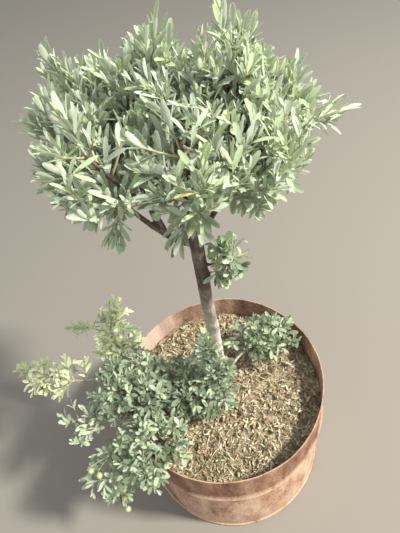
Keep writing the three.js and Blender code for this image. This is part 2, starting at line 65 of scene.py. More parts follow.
logging.basicConfig(level=logging.INFO, format="%(name)s: %(message)s")

Triple = tuple[float, float, float]
Colours = tuple[str, str, str]

MM = 0.001
BODY = "root"
UP = np.array([0.0, 0.0, 1.0])
FULL_TURN = 2 * math.pi


def linear(hex_value: str) -> tuple[float, float, float, float]:
    """Turns an sRGB hex value to linear light.

    Args:
        hex_value: A colour such as "#a5694a".

    Returns:
        Red, green, blue and alpha in linear light.
    """
    shares = [int(hex_value[i:i + 2], 16) / 255 for i in (1, 3, 5)]
    light = [s / 12.92 if s <= 0.04045 else ((s + 0.055) / 1.055) ** 2.4 for s in shares]
    return (light[0], light[1], light[2], 1.0)


def per_mm(millimetres: float) -> float:
    """Gives the noise scale, per metre, whose features are about that many millimetres across."""
    return 1.0 / (millimetres * MM)


class Wiring:
    """A new material's nodes, round its principled shader."""

    def __init__(self, name: str) -> None:
        """Makes the material with its shader, its output and the place that patterns are laid by.

        Args:
            name: The real material's name.
        """
        self.material = bpy.data.materials.new(name)
        self.material.use_nodes = True
        self.tree = self.material.node_tree
        self.tree.nodes.clear()
        surface = self.add("BsdfPrincipled")
        self.shader = surface.node
        self.plug(self.tree.nodes.new("ShaderNodeOutputMaterial"), {"Surface": surface})
        self.place = self.add("TexCoord", output="Object")

    def plug(self, node: bpy.types.Node, inputs: dict) -> None:
        """Sets or links a node's sockets.

        Args:
            node: The node.
            inputs: For each socket's name or number, a value or another node's output.
        """
        for name, value in inputs.items():
            if isinstance(value, bpy.types.NodeSocket):
                self.tree.links.new(value, node.inputs[name])
            else:
                node.inputs[name].default_value = value

    def add(self, kind: str, inputs: dict | None = None, output: str | int = 0,
            stops: dict[float, str] | None = None, **settings: object) -> bpy.types.NodeSocket:
        """Adds a node with its settings and its links.

        Args:
            kind: The node's type without its "ShaderNode" prefix.
            inputs: For each socket's name or number, a value or another node's output.
            output: The name or number of the output that is wanted.
            stops: On a colour ramp, the sRGB hex colour at each place, in order.
            **settings: Attributes of the node itself.

        Returns:
            The wanted output.
        """
        node = self.tree.nodes.new("ShaderNode" + kind)
        for name, value in settings.items():
            setattr(node, name, value)
        self.plug(node, inputs or {})
        if stops:
            elements = node.color_ramp.elements
            while len(elements) < len(stops):
                elements.new(0.5)
            for element, (place, colour) in zip(elements, stops.items()):
                element.position, element.color = place, linear(colour)
        return node.outputs[output]

    def finish(self, inputs: dict) -> bpy.types.Material:
        """Plugs values and outputs into the shader and gives the finished material."""
        self.plug(self.shader, inputs)
        return self.material


@dataclass(frozen=True)
class WeatheredSteel:
    """Mild steel sheet of an old drum, rusted through its paint by years outdoors.

    Rust gives it no gloss and a red-brown that turns pale and orange where water runs. A painted sunlight
    lightens the side that faces the sun, and a painted shade darkens the side away from it. Whatever faces
    up is paler with dust and a painted highlight, and the foot is dusty where rain splashes soil.
    """

    name: str
    upper: Colours
    dust: str
    # How strong the painted sunlight is on the side facing the sun, and the painted shade on the side away
    # from it.
    painted_sunlight: float = 0.0
    painted_shade: float = 0.0
    lower: Colours = ("#95664f", "#d8b095", "#f4dac0")
    # The colour of the painted sunlight, then the colour of the painted shade.
    bleached: str = "#f6e3d2"
    painted_shade_colour: str = "#4f3528"
    rust_places: Triple = (0.38, 0.5, 0.62)
    parting_mm: tuple[float, float] = (294.0, 304.0)
    splash_mm: float = 110.0
    flake_mm: float = 7.0
    stain_mm: float = 60.0

    def material(self) -> bpy.types.Material:
        """Builds the finish.

        Returns:
            The finished material.
        """
        w = Wiring(self.name)
        # Run-off streaks are drawn by stretching the noise down the wall.
        streaked = w.add("Mapping", {"Vector": w.place, "Scale": (1.0, 1.0, 0.3)})
        stain = w.add("TexNoise", {"Vector": streaked, "Scale": per_mm(self.stain_mm), "Detail": 7.0,
                                   "Roughness": 0.66})
        flake = w.add("TexNoise", {"Vector": w.place, "Scale": per_mm(self.flake_mm), "Detail": 5.0,
                                   "Roughness": 0.7})
        mixed = w.add("Math", {0: stain, 1: 0.62}, operation="MULTIPLY")
        rough = w.add("Math", {0: flake, 1: 0.38, 2: mixed}, operation="MULTIPLY_ADD")
        colour, upper = (w.add("ValToRGB", {"Fac": rough}, stops=dict(zip(self.rust_places, colours)))
                         for colours in (self.lower, self.upper))
        height = w.add("SeparateXYZ", {0: w.place}, "Z")
        normal = w.add("NewGeometry", output="Normal")
        east, up = (w.add("SeparateXYZ", {0: normal}, axis) for axis in "XZ")
        parting_low, parting_high = (edge * MM for edge in self.parting_mm)
        # What each layer follows, where it starts and is full, how strong it gets, and its colour.
        for source, start, full, most, layer in (
                (height, parting_low, parting_high, 1.0, upper),
                # Painted sunlight: paler where the wall faces the sun.
                (east, 0.25, 0.9, self.painted_sunlight, linear(self.bleached)),
                # Painted shade: darker where the wall faces away from the sun.
                (east, -0.3, -0.8, self.painted_shade, linear(self.painted_shade_colour))):
            share = w.add("MapRange", {"Value": source, "From Min": start, "From Max": full, "To Max": most})
            colour = w.add("Mix", {"Factor": share, "A": colour, "B": layer}, "Result", data_type="RGBA")
        # Paler on whatever faces up: dust, and a painted highlight on the hoop's and rim's upper faces.
        lying_dust_and_highlight = w.add("MapRange", {"Value": up, "From Min": 0.08, "From Max": 0.45, "To Max": 0.6})
        foot = w.add("MapRange", {"Value": height, "From Min": self.splash_mm * MM, "From Max": 0.0,
                                  "To Max": 0.7})
        either = w.add("Math", {0: lying_dust_and_highlight, 1: foot}, operation="MAXIMUM")
        patchy = w.add("MapRange", {"Value": stain, "From Min": 0.3, "From Max": 0.52})
        dusty = w.add("Math", {0: either, 1: patchy}, operation="MULTIPLY")
        dust = linear(self.dust)
        colour = w.add("Mix", {"Factor": dusty, "A": colour, "B": dust}, "Result", data_type="RGBA")
        bump = w.add("Bump", {"Height": flake, "Strength": 0.6, "Distance": 1.0 * MM})
        return w.finish({"Base Color": colour, "Roughness": 0.88, "Metallic": 0.1, "Normal": bump})


@dataclass(frozen=True)
class DrySoil:
    """Sandy loam dried in the sun: matte, pale crumbs over a darker, damper body, painted shade in hollows.
    """

    name: str = "dry_sandy_loam"
    # The colour of the painted shade in the hollows.
    hollow: str = "#3a3023"
    body: str = "#8a7b62"
    crumb: str = "#d0c3a6"
    crumb_mm: float = 7.0
    patch_mm: float = 60.0

    def material(self) -> bpy.types.Material:
        """Builds the finish.

        Returns:
            The finished material.
        """
        w = Wiring(self.name)
        crumbs = w.add("TexNoise", {"Vector": w.place, "Scale": per_mm(self.crumb_mm), "Detail": 6.0,
                                    "Roughness": 0.72})
        patches = w.add("TexNoise", {"Vector": w.place, "Scale": per_mm(self.patch_mm), "Detail": 3.0})
        mixed = w.add("Math", {0: patches, 1: 0.45, 2: crumbs}, operation="MULTIPLY_ADD")
        # The darkest stop falls mostly where the crumbs' bump is lowest: painted shade in the hollows between
        # crumbs.
        colours = {0.55: self.hollow, 0.72: self.body, 0.92: self.crumb}
        colour = w.add("ValToRGB", {"Fac": mixed}, stops=colours)
        bump = w.add("Bump", {"Height": crumbs, "Strength": 0.8, "Distance": 2.0 * MM})
        return w.finish({"Base Color": colour, "Roughness": 0.95, "Normal": bump})


@dataclass(frozen=True)
class OliveBark:
    """Young olive bark: smooth, matte, grey over red-brown, cracked along the limb; painted shade higher up.
    """

    name: str
    shaded: Colours
    weathered: Colours
    crack_mm: float = 5.0
    patch_mm: float = 26.0
    bark_places: Triple = (0.36, 0.5, 0.64)
    # Over these heights the weathered colours give way to the shaded ones: a painted shade under the crown.
    shade_fade_mm: tuple[float, float] = (590.0, 850.0)

    def material(self) -> bpy.types.Material:
        """Builds the finish.

        Returns:
            The finished material.
        """
        w = Wiring(self.name)
        # Cracks run up the limb, so the noise is stretched along Z.
        tall = w.add("Mapping", {"Vector": w.place, "Scale": (1.0, 1.0, 0.3)})
        cracks = w.add("TexNoise", {"Vector": tall, "Scale": per_mm(self.crack_mm), "Detail": 5.0,
                                    "Roughness": 0.65})
        patches = w.add("TexNoise", {"Vector": w.place, "Scale": per_mm(self.patch_mm), "Detail": 4.0})
        half = w.add("Math", {0: patches, 1: 0.45}, operation="MULTIPLY")
        mixed = w.add("Math", {0: cracks, 1: 0.55, 2: half}, operation="MULTIPLY_ADD")
        brown, grey = (w.add("ValToRGB", {"Fac": mixed}, stops=dict(zip(self.bark_places, colours)))
                       for colours in (self.shaded, self.weathered))
        # Higher up the shaded colours take over: a painted shade under the crown.
        height = w.add("SeparateXYZ", {0: w.place}, "Z")
        low, high = (edge * MM for edge in self.shade_fade_mm)
        up = w.add("MapRange", {"Value": height, "From Min": low, "From Max": high})
        colour = w.add("Mix", {"Factor": up, "A": grey, "B": brown}, "Result", data_type="RGBA")
        bump = w.add("Bump", {"Height": cracks, "Strength": 0.6, "Distance": 0.8 * MM})
        return w.finish({"Base Color": colour, "Roughness": 0.85, "Normal": bump})


@dataclass(frozen=True)
class LeafSkin:
    """Leathery olive leaf: a waxy upper skin with a faint sheen, or an underside felted with pale scales."""

    name: str
    colour: str
    roughness: float
    vein_mm: float = 2.2

    def material(self) -> bpy.types.Material:
        """Builds the finish.

        Returns:
            The finished material.
        """
        w = Wiring(self.name)
        veins = w.add("TexNoise", {"Vector": w.place, "Scale": per_mm(self.vein_mm), "Detail": 2.0})
        bump = w.add("Bump", {"Height": veins, "Strength": 0.25, "Distance": 0.3 * MM})
        return w.finish({"Base Color": linear(self.colour), "Roughness": self.roughness, "Normal": bump,
                         "Specular IOR Level": 0.22, "Subsurface Weight": 0.45, "Subsurface Scale": 1.8 * MM,
                         "Subsurface Radius": (1.0, 1.0, 0.6)})


@dataclass(frozen=True)
class FruitSkin:
    """Skin of an unripe olive: smooth and waxy, with pale specks."""

    name: str
    main: str
    speck: str
    speck_mm: float = 1.6

    def material(self) -> bpy.types.Material:
        """Builds the finish.

        Returns:
            The finished material.
        """
        w = Wiring(self.name)
        specks = w.add("TexNoise", {"Vector": w.place, "Scale": per_mm(self.speck_mm), "Detail": 2.0})
        colour = w.add("ValToRGB", {"Fac": specks}, stops={0.5: self.main, 0.72: self.speck})
        return w.finish({"Base Color": colour, "Roughness": 0.38})


@dataclass(frozen=True)
class DryStraw:
    """Dead grass stems and leaf litter: hollow, bleached by the sun, with a slight silky sheen."""

    name: str
    dark: str
    pale: str
    fleck_mm: float = 18.0

    def material(self) -> bpy.types.Material:
        """Builds the finish.

        Returns:
            The finished material.
        """
        w = Wiring(self.name)
        flecks = w.add("TexNoise", {"Vector": w.place, "Scale": per_mm(self.fleck_mm), "Detail": 4.0})
        colour = w.add("ValToRGB", {"Fac": flecks}, stops={0.36: self.dark, 0.62: self.pale})
        return w.finish({"Base Color": colour, "Roughness": 0.75})


@dataclass(frozen=True)
class PaintedBoard:
    """Board under matte paint: an even grey without gloss, with a grain that hardly shows."""

    name: str = "matte_painted_board"
    colour: str = "#918c83"
    grain_mm: float = 4.0

    def material(self) -> bpy.types.Material:
        """Builds the finish.

        Returns:
            The finished material.
        """
        w = Wiring(self.name)
        grain = w.add("TexNoise", {"Scale": per_mm(self.grain_mm)})
        bump = w.add("Bump", {"Height": grain, "Strength": 0.05, "Distance": 0.2 * MM})
        return w.finish({"Base Color": linear(self.colour), "Roughness": 0.9, "Normal": bump})


class Tint(Enum):
    """The tints of a leaf's upper skin, by their number in the list of skins."""

    YOUNG = 0
    SUNLIT = 1
    SAGE = 2
    IN_SHADE = 3
    DRY = 4
    SILVER = 5
    FULL_SUN = 6


# The tints paint the light a spray gets, from painted full sun to painted shade, with a shaded underside to
# match.
LEAF_SKINS = [
    LeafSkin("olive_leaf_upper_young", "#b7ca9e", 0.6),
    LeafSkin("olive_leaf_upper_sunlit", "#b7c7ab", 0.55),
    LeafSkin("olive_leaf_upper_sage", "#abb89c", 0.55),
    LeafSkin("olive_leaf_upper_in_shade", "#7b8b72", 0.5),
    LeafSkin("olive_leaf_upper_dry", "#d4b873", 0.7),
    LeafSkin("olive_leaf_upper_silver", "#bbc6b1", 0.6),
    LeafSkin("olive_leaf_upper_full_sun", "#e2ecb9", 0.6),
    LeafSkin("olive_leaf_under_pale", "#c1cab8", 0.7),
    LeafSkin("olive_leaf_under_shaded", "#bac2b2", 0.7),
]
UNDER_PALE, UNDER_SHADED = 7, 8
# Leaves of the two darkest tints get the shaded under skin: a painted shade.
UNDER_OF = {tint: UNDER_SHADED if tint in (Tint.IN_SHADE, Tint.SAGE) else UNDER_PALE for tint in Tint}
LIGHTER = {Tint.IN_SHADE: Tint.SAGE, Tint.SAGE: Tint.SUNLIT, Tint.SUNLIT: Tint.SILVER, Tint.YOUNG: Tint.SUNLIT,
           Tint.SILVER: Tint.SILVER, Tint.FULL_SUN: Tint.FULL_SUN}


class Draws:
    """Seeded random numbers by the minimal standard generator, as the solids use."""

    modulus = 2147483647
    factor = 48271
    seed_step, seed_start = 7919, 104729

    def __init__(self, seed: int) -> None:
        """Starts the row of numbers for a seed."""
        self.state = (seed * self.seed_step + self.seed_start) % self.modulus

    def draw(self) -> float:
        """Gives the next number from 0 to 1."""
        self.state = self.state * self.factor % self.modulus
        return self.state / self.modulus

    def between(self, low: float, high: float) -> float:
        """Gives the next number between two limits."""
        return low + (high - low) * self.draw()

    def about(self, most: float) -> float:
        """Gives the next number from minus a limit to plus it."""
        return self.between(-most, most)

    def turn(self) -> float:
        """Gives the next angle of a full turn."""
        return self.between(0, FULL_TURN)

    def pick(self, *limits: float) -> int:
        """Gives the number of the stretch that the next number falls in, from 0."""
        number = self.draw()
        return sum(number >= limit for limit in limits)


def vec(*values: float) -> np.ndarray:
    """Gives a vector of floats."""
    return np.array(values, float)


def mix(low: float, high: float, share: float) -> float:
    """Gives the value a share of the way from low to high."""
    return low + (high - low) * share


def unit(v: np.ndarray) -> np.ndarray:
    """Gives a vector's direction."""
    return v / np.linalg.norm(v)


def ray(angle: float, height: float = 0.0) -> np.ndarray:
    """Gives the level unit vector at an angle, set at a height."""
    return vec(math.cos(angle), math.sin(angle), height)


def circle(sides: int) -> np.ndarray:
    """Gives the angles of evenly spread points on a circle."""
    return np.linspace(0, FULL_TURN, sides, endpoint=False)


def square_to(direction: np.ndarray, nearest: np.ndarray) -> np.ndarray:
    """Gives the unit vector square to a direction that lies nearest to a given one."""
    return unit(nearest - direction * (nearest @ direction))


def side_of(direction: np.ndarray, angle: float) -> np.ndarray:
    """Gives the unit vector square to a direction at an angle round it, from the one nearest to upright."""
    a = square_to(direction, UP if abs(direction[2]) < 0.9 else vec(1, 0, 0))
    return a * math.cos(angle) + np.cross(a, direction) * math.sin(angle)


def arch(a: np.ndarray, c: np.ndarray, b: np.ndarray, steps: int) -> np.ndarray:
    """Gives points on the curve from a to b that a third point c pulls towards itself."""
    t = np.linspace(0, 1, steps + 1)[:, None]
    return (1 - t) ** 2 * a + 2 * t * (1 - t) * c + t ** 2 * b


def along(points: np.ndarray, share: float) -> tuple[np.ndarray, np.ndarray]:
    """Finds a place on a row of points.

    Args:
        points: The row, from first to last.
        share: How far along it, from 0 to 1, counted in steps.

    Returns:
        The point and the direction there.
    """
    last = len(points) - 1
    i = min(int(share * last), last - 1)
    return points[i] + (points[i + 1] - points[i]) * (share * last - i), unit(points[i + 1] - points[i])


def tangents(points: np.ndarray) -> np.ndarray:
    """Works out the direction of a row of points at each of them.

    Args:
        points: The row.

    Returns:
        One unit vector for each point.
    """
    padded = np.vstack([points[:1], points, points[-1:]])
    steps = padded[2:] - padded[:-2]
    return steps / np.linalg.norm(steps, axis=1)[:, None]


def span(points: np.ndarray) -> float:
    """Gives the straight distance between a row's ends."""
    return float(np.linalg.norm(points[-1] - points[0]))


def wander(point: np.ndarray, size_mm: float, octaves: int = 3, seed: float = 0.0) -> float:
    """Gives smooth noise from about -1 to 1 at a point, with features of a given size."""
    dimension, lacunarity = 0.9, 2.1
    return noise.fractal(Vector(point / size_mm) + Vector((seed, seed, seed)), dimension, lacunarity, octaves)


def closed_faces(rings: int, sides: int, downwards: bool = False) -> list[list[int]]:
    """Lists the faces of a closed body of a first vertex, rings up from it, and a last vertex.

    Args:
        rings: How many rings it has.
        sides: How many vertices a ring has.
        downwards: Whether the rings go down instead.

    Returns:
        Rows of vertex numbers, one run of faces after the other, each of as many faces as a ring has sides.
    """
    end, around = 1 + rings * sides, [(i, (i + 1) % sides) for i in range(sides)]
    faces = [[0, 1 + b, 1 + a] for a, b in around]
    for start in range(1, end - sides, sides):
        faces += [[start + a, start + b, start + b + sides, start + a + sides] for a, b in around]
    faces += [[end, end - sides + a, end - sides + b] for a, b in around]
    return [row[:1] + row[:0:-1] for row in faces] if downwards else faces


class Mesh:
    """Vertices and faces of one joined piece, gathered chunk by chunk."""

    def __init__(self) -> None:
        """Starts with nothing."""
        self.vertices: list[np.ndarray] = []
        self.faces: list[list[int]] = []
        self.slots: list[int] = []
        self.count = 0

    def add(self, vertices: np.ndarray | list, faces: list[list[int]], slots: int | list[int] = 0) -> None:
        """Adds a chunk.

        Args:
            vertices: Points in millimetres.
            faces: Rows of vertex numbers within the chunk.
            slots: One material slot for all faces, or one for each.
        """
        self.vertices.append(np.array(vertices))
        self.faces += [[i + self.count for i in row] for row in faces]
        self.slots += [slots] * len(faces) if isinstance(slots, int) else slots
        self.count += len(vertices)

    def tube(self, points: np.ndarray, radii: np.ndarray, sides: int, slot: int = 0) -> None:
        """Adds a closed tube along a row of points.

        Args:
            points: The centreline.
            radii: One radius for each point.
            sides: How many sides the tube has.
            slot: Its material slot.
        """
        directions, angles = tangents(points), circle(sides)[:, None]
        normal = vec(1, 0, 0) if abs(directions[0][0]) < 0.8 else vec(0, 1, 0)
        rings = []
        for point, direction, radius in zip(points, directions, radii):
            normal = square_to(direction, normal)
            across = np.cross(direction, normal)
            rings.append(point + radius * (np.cos(angles) * normal + np.sin(angles) * across))
        self.add(np.vstack([points[:1], *rings, points[-1:]]), closed_faces(len(points), sides), slot)

    def piece(self, name: str, finishes: list, slot: str, nodes: tuple[str, ...] = (),
              sharp_degrees: float | None = None) -> bpy.types.Object:
        """Makes the Blender object, which rides on the tree's one body, and reports it.

        Args:
            name: The piece's name.
            finishes: The finish of each material slot, in order.
            slot: The record's material slot; not used.
            nodes: The CAD nodes that it stands for.
            sharp_degrees: Edges that turn more than this are kept sharp.

        Returns:
            The object.
        """
        mesh = bpy.data.meshes.new(name)
        mesh.from_pydata((np.vstack(self.vertices) * MM).tolist(), [], self.faces)
        mesh.polygons.foreach_set("material_index", self.slots)
        mesh.polygons.foreach_set("use_smooth", [True] * len(mesh.polygons))
        for finish in finishes:
            mesh.materials.append(bpy.data.materials.get(finish.name) or finish.material())
        if sharp_degrees is not None:
            mesh.set_sharp_from_angle(angle=math.radians(sharp_degrees))
        mesh.update()
        thing = bpy.data.objects.new(name, mesh)
        bpy.context.scene.collection.objects.link(thing)
        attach(thing, BODY)
        if nodes:
            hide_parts(*nodes)
        triangles = sum(len(polygon.vertices) - 2 for polygon in mesh.polygons)
        log.info("%s: %d triangles, stands for %d nodes", name, triangles, len(nodes))
        return thing


@dataclass
class Drum:
    """The planter: the lower half of a 200-litre steel drum, cut with an uneven rim."""

    radius: float = 292.5
    height: float = 426.0
    wall: float = 3.0
    floor_radii: Triple = (100.0, 200.0, 280.0)
    hoop_height: float = 293.0
    hoop_half: float = 11.5
    hoop_out: float = 7.0
    chime_out: float = 4.0
    chime_top: float = 14.0
    chime_start: float = 0.15
    chime_points: int = 6
    # How many waves the rim has round it, how high they are and where they start.
    rim_waves: tuple[tuple[int, float, float], ...] = ((2, 3.5, 0.6), (5, 2.0, 2.1))
    rim_crown: float = 0.6
    nick: float = 0.8
    nick_size: float = 16.0
    around: int = 220
    row: float = 7.0
    dent: float = 1.6
    dent_size: float = 150.0
    dent_start: float = 60.0
    scale: float = 0.35
    scale_size: float = 7.0

    def rim_wave(self, angle: float) -> float:
        """Gives how far the rim stands above or below the drum's height at an angle."""
        return sum(high * math.sin(count * angle + phase) for count, high, phase in self.rim_waves)

    def hoop(self, z: float) -> float:
        """Gives how far the rolling hoop pushes the wall out at a height."""
        near = max(0.0, 1 - abs(z - self.hoop_height) / self.hoop_half)
        return self.hoop_out * math.sin(near * math.pi / 2) ** 2

    def outline(self) -> list[tuple[float, float, bool]]:
        """Lists the wall's section.

        Returns:
            Radius, height and whether the point is outside, from the floor's middle out, up and back in.
        """
        rows = int((self.height - self.chime_top) / self.row)
        heights = [mix(self.chime_top, self.height, i / rows) for i in range(rows + 1)]
        inside = self.radius - self.wall
        section = [(r, 0.0, True) for r in (0.0, *self.floor_radii)]
        section += [(self.radius + self.chime_out * math.sin(a), self.chime_top / 2 * (1 - math.cos(a)), True)
                    for a in np.linspace(self.chime_start, math.pi, self.chime_points)]
        section += [(self.radius + self.hoop(z), z, True) for z in heights[1:]]
        section += [(self.radius - self.wall / 2, self.height + self.rim_crown, True)]
        section += [(inside + self.hoop(z), z, False) for z in reversed(heights)]
        section += [(r, self.wall, False) for r in (inside, *reversed(self.floor_radii[:2]), 0.0)]
        return section

    def ring(self, r: float, z: float, outside: bool) -> np.ndarray:
        """Works out one ring, with the wall's dents, its scale of rust and the rim's waves.

        Args:
            r: The section's radius there.
            z: Its height.
            outside: Whether it is on the outside.

        Returns:
            The ring's points.
        """
        share = max(0.0, (z - self.hoop_height) / (self.height - self.hoop_height))
        nick, points = self.nick * share ** 8, []
        for angle in circle(self.around):
            spot = ray(angle) * self.radius + UP * z
            lift = share * (self.rim_wave(angle) + nick * wander(spot, self.nick_size, 2, 5.0))
            push = self.dent * wander(spot, self.dent_size, 2) * min(1.0, z / self.dent_start)
            if outside and r > self.radius - 1:
                push += self.scale * wander(spot, self.scale_size, 3, 9.0)
            on_wall = r > self.radius - 10
            points.append(ray(angle) * (r + (push if on_wall else 0)) + UP * (z + lift))
        return np.array(points)

    def build(self) -> None:
        """Builds and dresses the drum."""
        section = self.outline()
        rings = [self.ring(*point) for point in section]
        slots = [0 if outside else 1 for _, _, outside in section[:-1] for _ in range(self.around)]
        mesh = Mesh()
        mesh.add(np.vstack([rings[0][:1], *rings[1:-1], rings[-1][:1]]),
                 closed_faces(len(section) - 2, self.around), slots)
        outside, inside = ("#633f2f", "#9f755e", "#caa287"), ("#5f493e", "#ad8a76", "#e3c5ae")
        # The outer wall carries a painted shade on the side away from the sun, the inner one a painted
        # sunlight on the side facing it.
        finishes = [WeatheredSteel("weathered_steel_outer_with_painted_shade", outside, "#c9ad93", painted_shade=0.6),
                    WeatheredSteel("weathered_steel_inner_with_painted_sunlight", inside, "#b39c84", painted_sunlight=0.85)]
        mesh.piece("drum_shell", finishes, "rusted_steel", ("drum",), 50)


@dataclass
class Soil:
    """The fill: a mounded crust of dry loam under straw, crumbs and shed leaves."""

    radius: float = 288.6
    top: float = 365.0
    edge: float = 348.0
    flat_radius: float = 62.0
    shoulder_share: float = 0.6
    shoulder_rise: float = 9.0
    floor: float = 290.0
    clod: float = 12.5
    clod_size: float = 27.0
    crumb: float = 2.4
    crumb_size: float = 7.0
    sink: float = 2.0
    # The crust is calm round the trunk: where that ends, over what width, and how rough it is at least.
    calm: Triple = (20.0, 70.0, 0.15)
    # Litter is scarcer to the right of and behind a corner, by a share, and in patches by another.
    bare_corner: tuple[float, float] = (120.0, -40.0)
    bare_share: float = 0.45
    patch_share: float = 0.35
    patch_size: float = 70.0
    trunk_room: float = 30.0
    around: int = 260
    rings: int = 84
    straws: int = 1500
    straw_long: tuple[float, float] = (10, 44)
    straw_thick: tuple[float, float] = (0.5, 1.3)
    straw_slope: tuple[float, float] = (-0.1, 0.6)
    straw_bend: float = 0.5
    straw_lift: tuple[float, float] = (-1, 6)
    crumbs: int = 900
    crumb_half: tuple[float, float] = (1.6, 4.8)
    crumb_ragged: tuple[float, float] = (0.65, 1.1)
    flakes: int = 1900
    flake_half: tuple[float, float] = (4, 11)
    flake_wide: tuple[float, float] = (1.8, 4.2)
    flake_curl: tuple[float, float] = (-0.35, 0.75)
    flake_lift: tuple[float, float] = (0.5, 6)
    flake_tilt: float = 0.5
    flake_roll: float = 0.9
    flake_ragged: tuple[float, float] = (0.8, 1.15)
    # The share of a flake's half length, and of its width there.
    flake_stations: tuple[tuple[float, float], ...] = ((-0.6, 0.75), (0.0, 1.0), (0.6, 0.7))
    seed: int = 77

    def height_at(self, x: float, y: float) -> float:
        """Works out the crust's height at a place.

        Args:
            x: How far to the right it is.
            y: How far to the back it is.

        Returns:
            The height there.
        """
        r = math.hypot(x, y)
        base = np.interp(r, [0, self.flat_radius, self.radius * self.shoulder_share, self.radius],
                         [self.top, self.top, self.edge + self.shoulder_rise, self.edge])
        start, width, least = self.calm
        spot = vec(x, y, 0)
        rough = self.clod * wander(spot, self.clod_size, 3)
        rough += self.crumb * wander(spot, self.crumb_size, 2, 3.0)
        return float(base + min(1.0, max(least, (r - start) / width)) * (rough - self.sink))

    def build(self) -> None:
        """Builds and dresses the crust and what lies on it."""
        mesh = Mesh()
        angles = circle(self.around)
        vertices = [vec(0, 0, self.height_at(0, 0))]
        for ring in range(1, self.rings + 1):
            for angle in angles:
                x, y, _ = ray(angle) * (self.radius * ring / self.rings)
                vertices.append(vec(x, y, self.height_at(x, y)))
        vertices += [ray(a) * self.radius + UP * self.floor for a in angles]
        vertices.append(UP * self.floor)
        mesh.add(vertices, closed_faces(self.rings + 1, self.around, downwards=True))
        mesh.piece("soil_crust", [DrySoil()], "potting_soil", ("soil",))
        self.strew()

    def strew(self) -> None:
        """Strews dry stems, crumbs and shed leaves over the crust."""
        draws = Draws(self.seed)
        stems = [DryStraw("bleached_grass_stem", "#cdbf98", "#f6efd6"),
                 DryStraw("old_grass_stem", "#5f5039", "#a8946c"),
                 DryStraw("grey_green_dry_stem", "#959a72", "#cfd0a6")]
        crumbs = [DrySoil("loam_crumb"),
                  DrySoil("sun_dried_crumb", "#857761", "#b5a789", "#ddd1b3", 5.0, 30.0)]
        leaves = [DryStraw("bleached_dead_leaf", "#c2b08c", "#f2e8cd", 9.0),
                  DryStraw("brown_dead_leaf", "#7f6647", "#c3a67c", 9.0),
                  DryStraw("grey_green_dead_leaf", "#8f9370", "#c9cca6", 9.0)]
        for name, lay, count, finishes in (("dry_litter", self.stem, self.straws, stems),
                                           ("soil_crumbs", self.lump, self.crumbs, crumbs),
                                           ("dead_leaves", self.flake, self.flakes, leaves)):
            mesh = Mesh()
            for _ in range(count):
                lay(mesh, draws)
            mesh.piece(name, finishes, "potting_soil")

    def place(self, draws: Draws, margin: float) -> np.ndarray:
        """Draws a place on the crust, more often where litter gathers.

        Args:
            draws: Random numbers.
            margin: How far it stays from the wall at least.

        Returns:
            The point on the crust.
        """
        while True:
            r, angle = (self.radius - margin) * math.sqrt(draws.draw()), draws.turn()
            x, y = r * math.cos(angle), r * math.sin(angle)
            bare = self.bare_share if x > self.bare_corner[0] and y > self.bare_corner[1] else 0.0
            bare += self.patch_share * max(0.0, wander(vec(x, y, 0), self.patch_size, 2, 21.0))
            if draws.draw() > bare and r > self.trunk_room:
                return vec(x, y, self.height_at(x, y))

    def stem(self, mesh: Mesh, draws: Draws) -> None:
        """Lays one bent dry stem, unless it would reach the wall.

        Args:
            mesh: The piece that it goes to.
            draws: Random numbers.
        """
        spot = self.place(draws, 12)
        turn, long = draws.turn(), draws.between(*self.straw_long)
        lift, bend = draws.between(*self.straw_slope) ** 2, draws.about(self.straw_bend)
        start = spot + UP * draws.between(*self.straw_lift)
        t = np.linspace(0, 1, 4)[:, None]
        points = start + ray(turn, lift) * long * t + ray(turn + math.pi / 2, 0.3) * bend * long * (t ** 2)
        if np.hypot(points[:, 0], points[:, 1]).max() > self.radius - 4:
            return
        thick = draws.between(*self.straw_thick)
        mesh.tube(points, thick * vec(0.8, 1.0, 0.8, 0.35), 3, draws.pick(0.6, 0.85))

    def flake(self, mesh: Mesh, draws: Draws) -> None:
        """Lays one dead leaf or a scrap of one, curled as it dried and resting at a slant.

        Args:
            mesh: The piece that it goes to.
            draws: Random numbers.
        """
        spot = self.place(draws, 14)
        turn, tilt, roll = draws.turn(), draws.about(self.flake_tilt), draws.about(self.flake_roll)
        ahead, flat = ray(turn) * math.cos(tilt) + UP * math.sin(tilt), ray(turn + math.pi / 2)
        across = flat * math.cos(roll) + np.cross(ahead, flat) * math.sin(roll)
        normal = np.cross(ahead, across)
        half, wide = draws.between(*self.flake_half), draws.between(*self.flake_wide)
        curl = draws.between(*self.flake_curl)
        middle = spot + UP * (draws.between(*self.flake_lift) + half * abs(math.sin(tilt)) * 0.6)
        vertices = [middle - ahead * half + normal * curl * half]
        for share, width in self.flake_stations:
            spine = middle + ahead * half * share + normal * curl * half * share ** 2
            side = across * wide * width * draws.between(*self.flake_ragged)
            edge, rib = normal * wide * 0.3, normal * 0.35
            vertices += [spine - side + edge, spine + rib, spine + side + edge, spine - rib]
        vertices.append(middle + ahead * half + normal * curl * half)
        mesh.add(vertices, closed_faces(len(self.flake_stations), 4), draws.pick(0.62, 0.86))

    def lump(self, mesh: Mesh, draws: Draws) -> None:
        """Lays one crumb of soil, a small uneven lump.

        Args:
            mesh: The piece that it goes to.
            draws: Random numbers.
        """
        spot = self.place(draws, 10)
        size = draws.between(*self.crumb_half) * (1.5 if draws.draw() > 0.92 else 1)
        sides, middle = 6, spot + UP * 0.3 * size
        corners = [UP, *(ray(a, z) for z in (0.35, -0.45) for a in circle(sides)), -UP]
        vertices = [middle + corner * size * draws.between(*self.crumb_ragged) for corner in corners]
        mesh.add(vertices, closed_faces(2, sides, downwards=True), draws.pick(0.5))


@dataclass(frozen=True)
class Bough:
    """One bough: it leaves its parent at a share of the parent's length, lifts and ends at its tip."""

    name: str
    parent: str
    at: float
    tip: Triple
    radii: tuple[float, float]
    lift: float

    @property
    def low(self) -> bool:
        """Says whether it is one of the low boughs from the trunk's foot."""
        return self.name.startswith("low_")


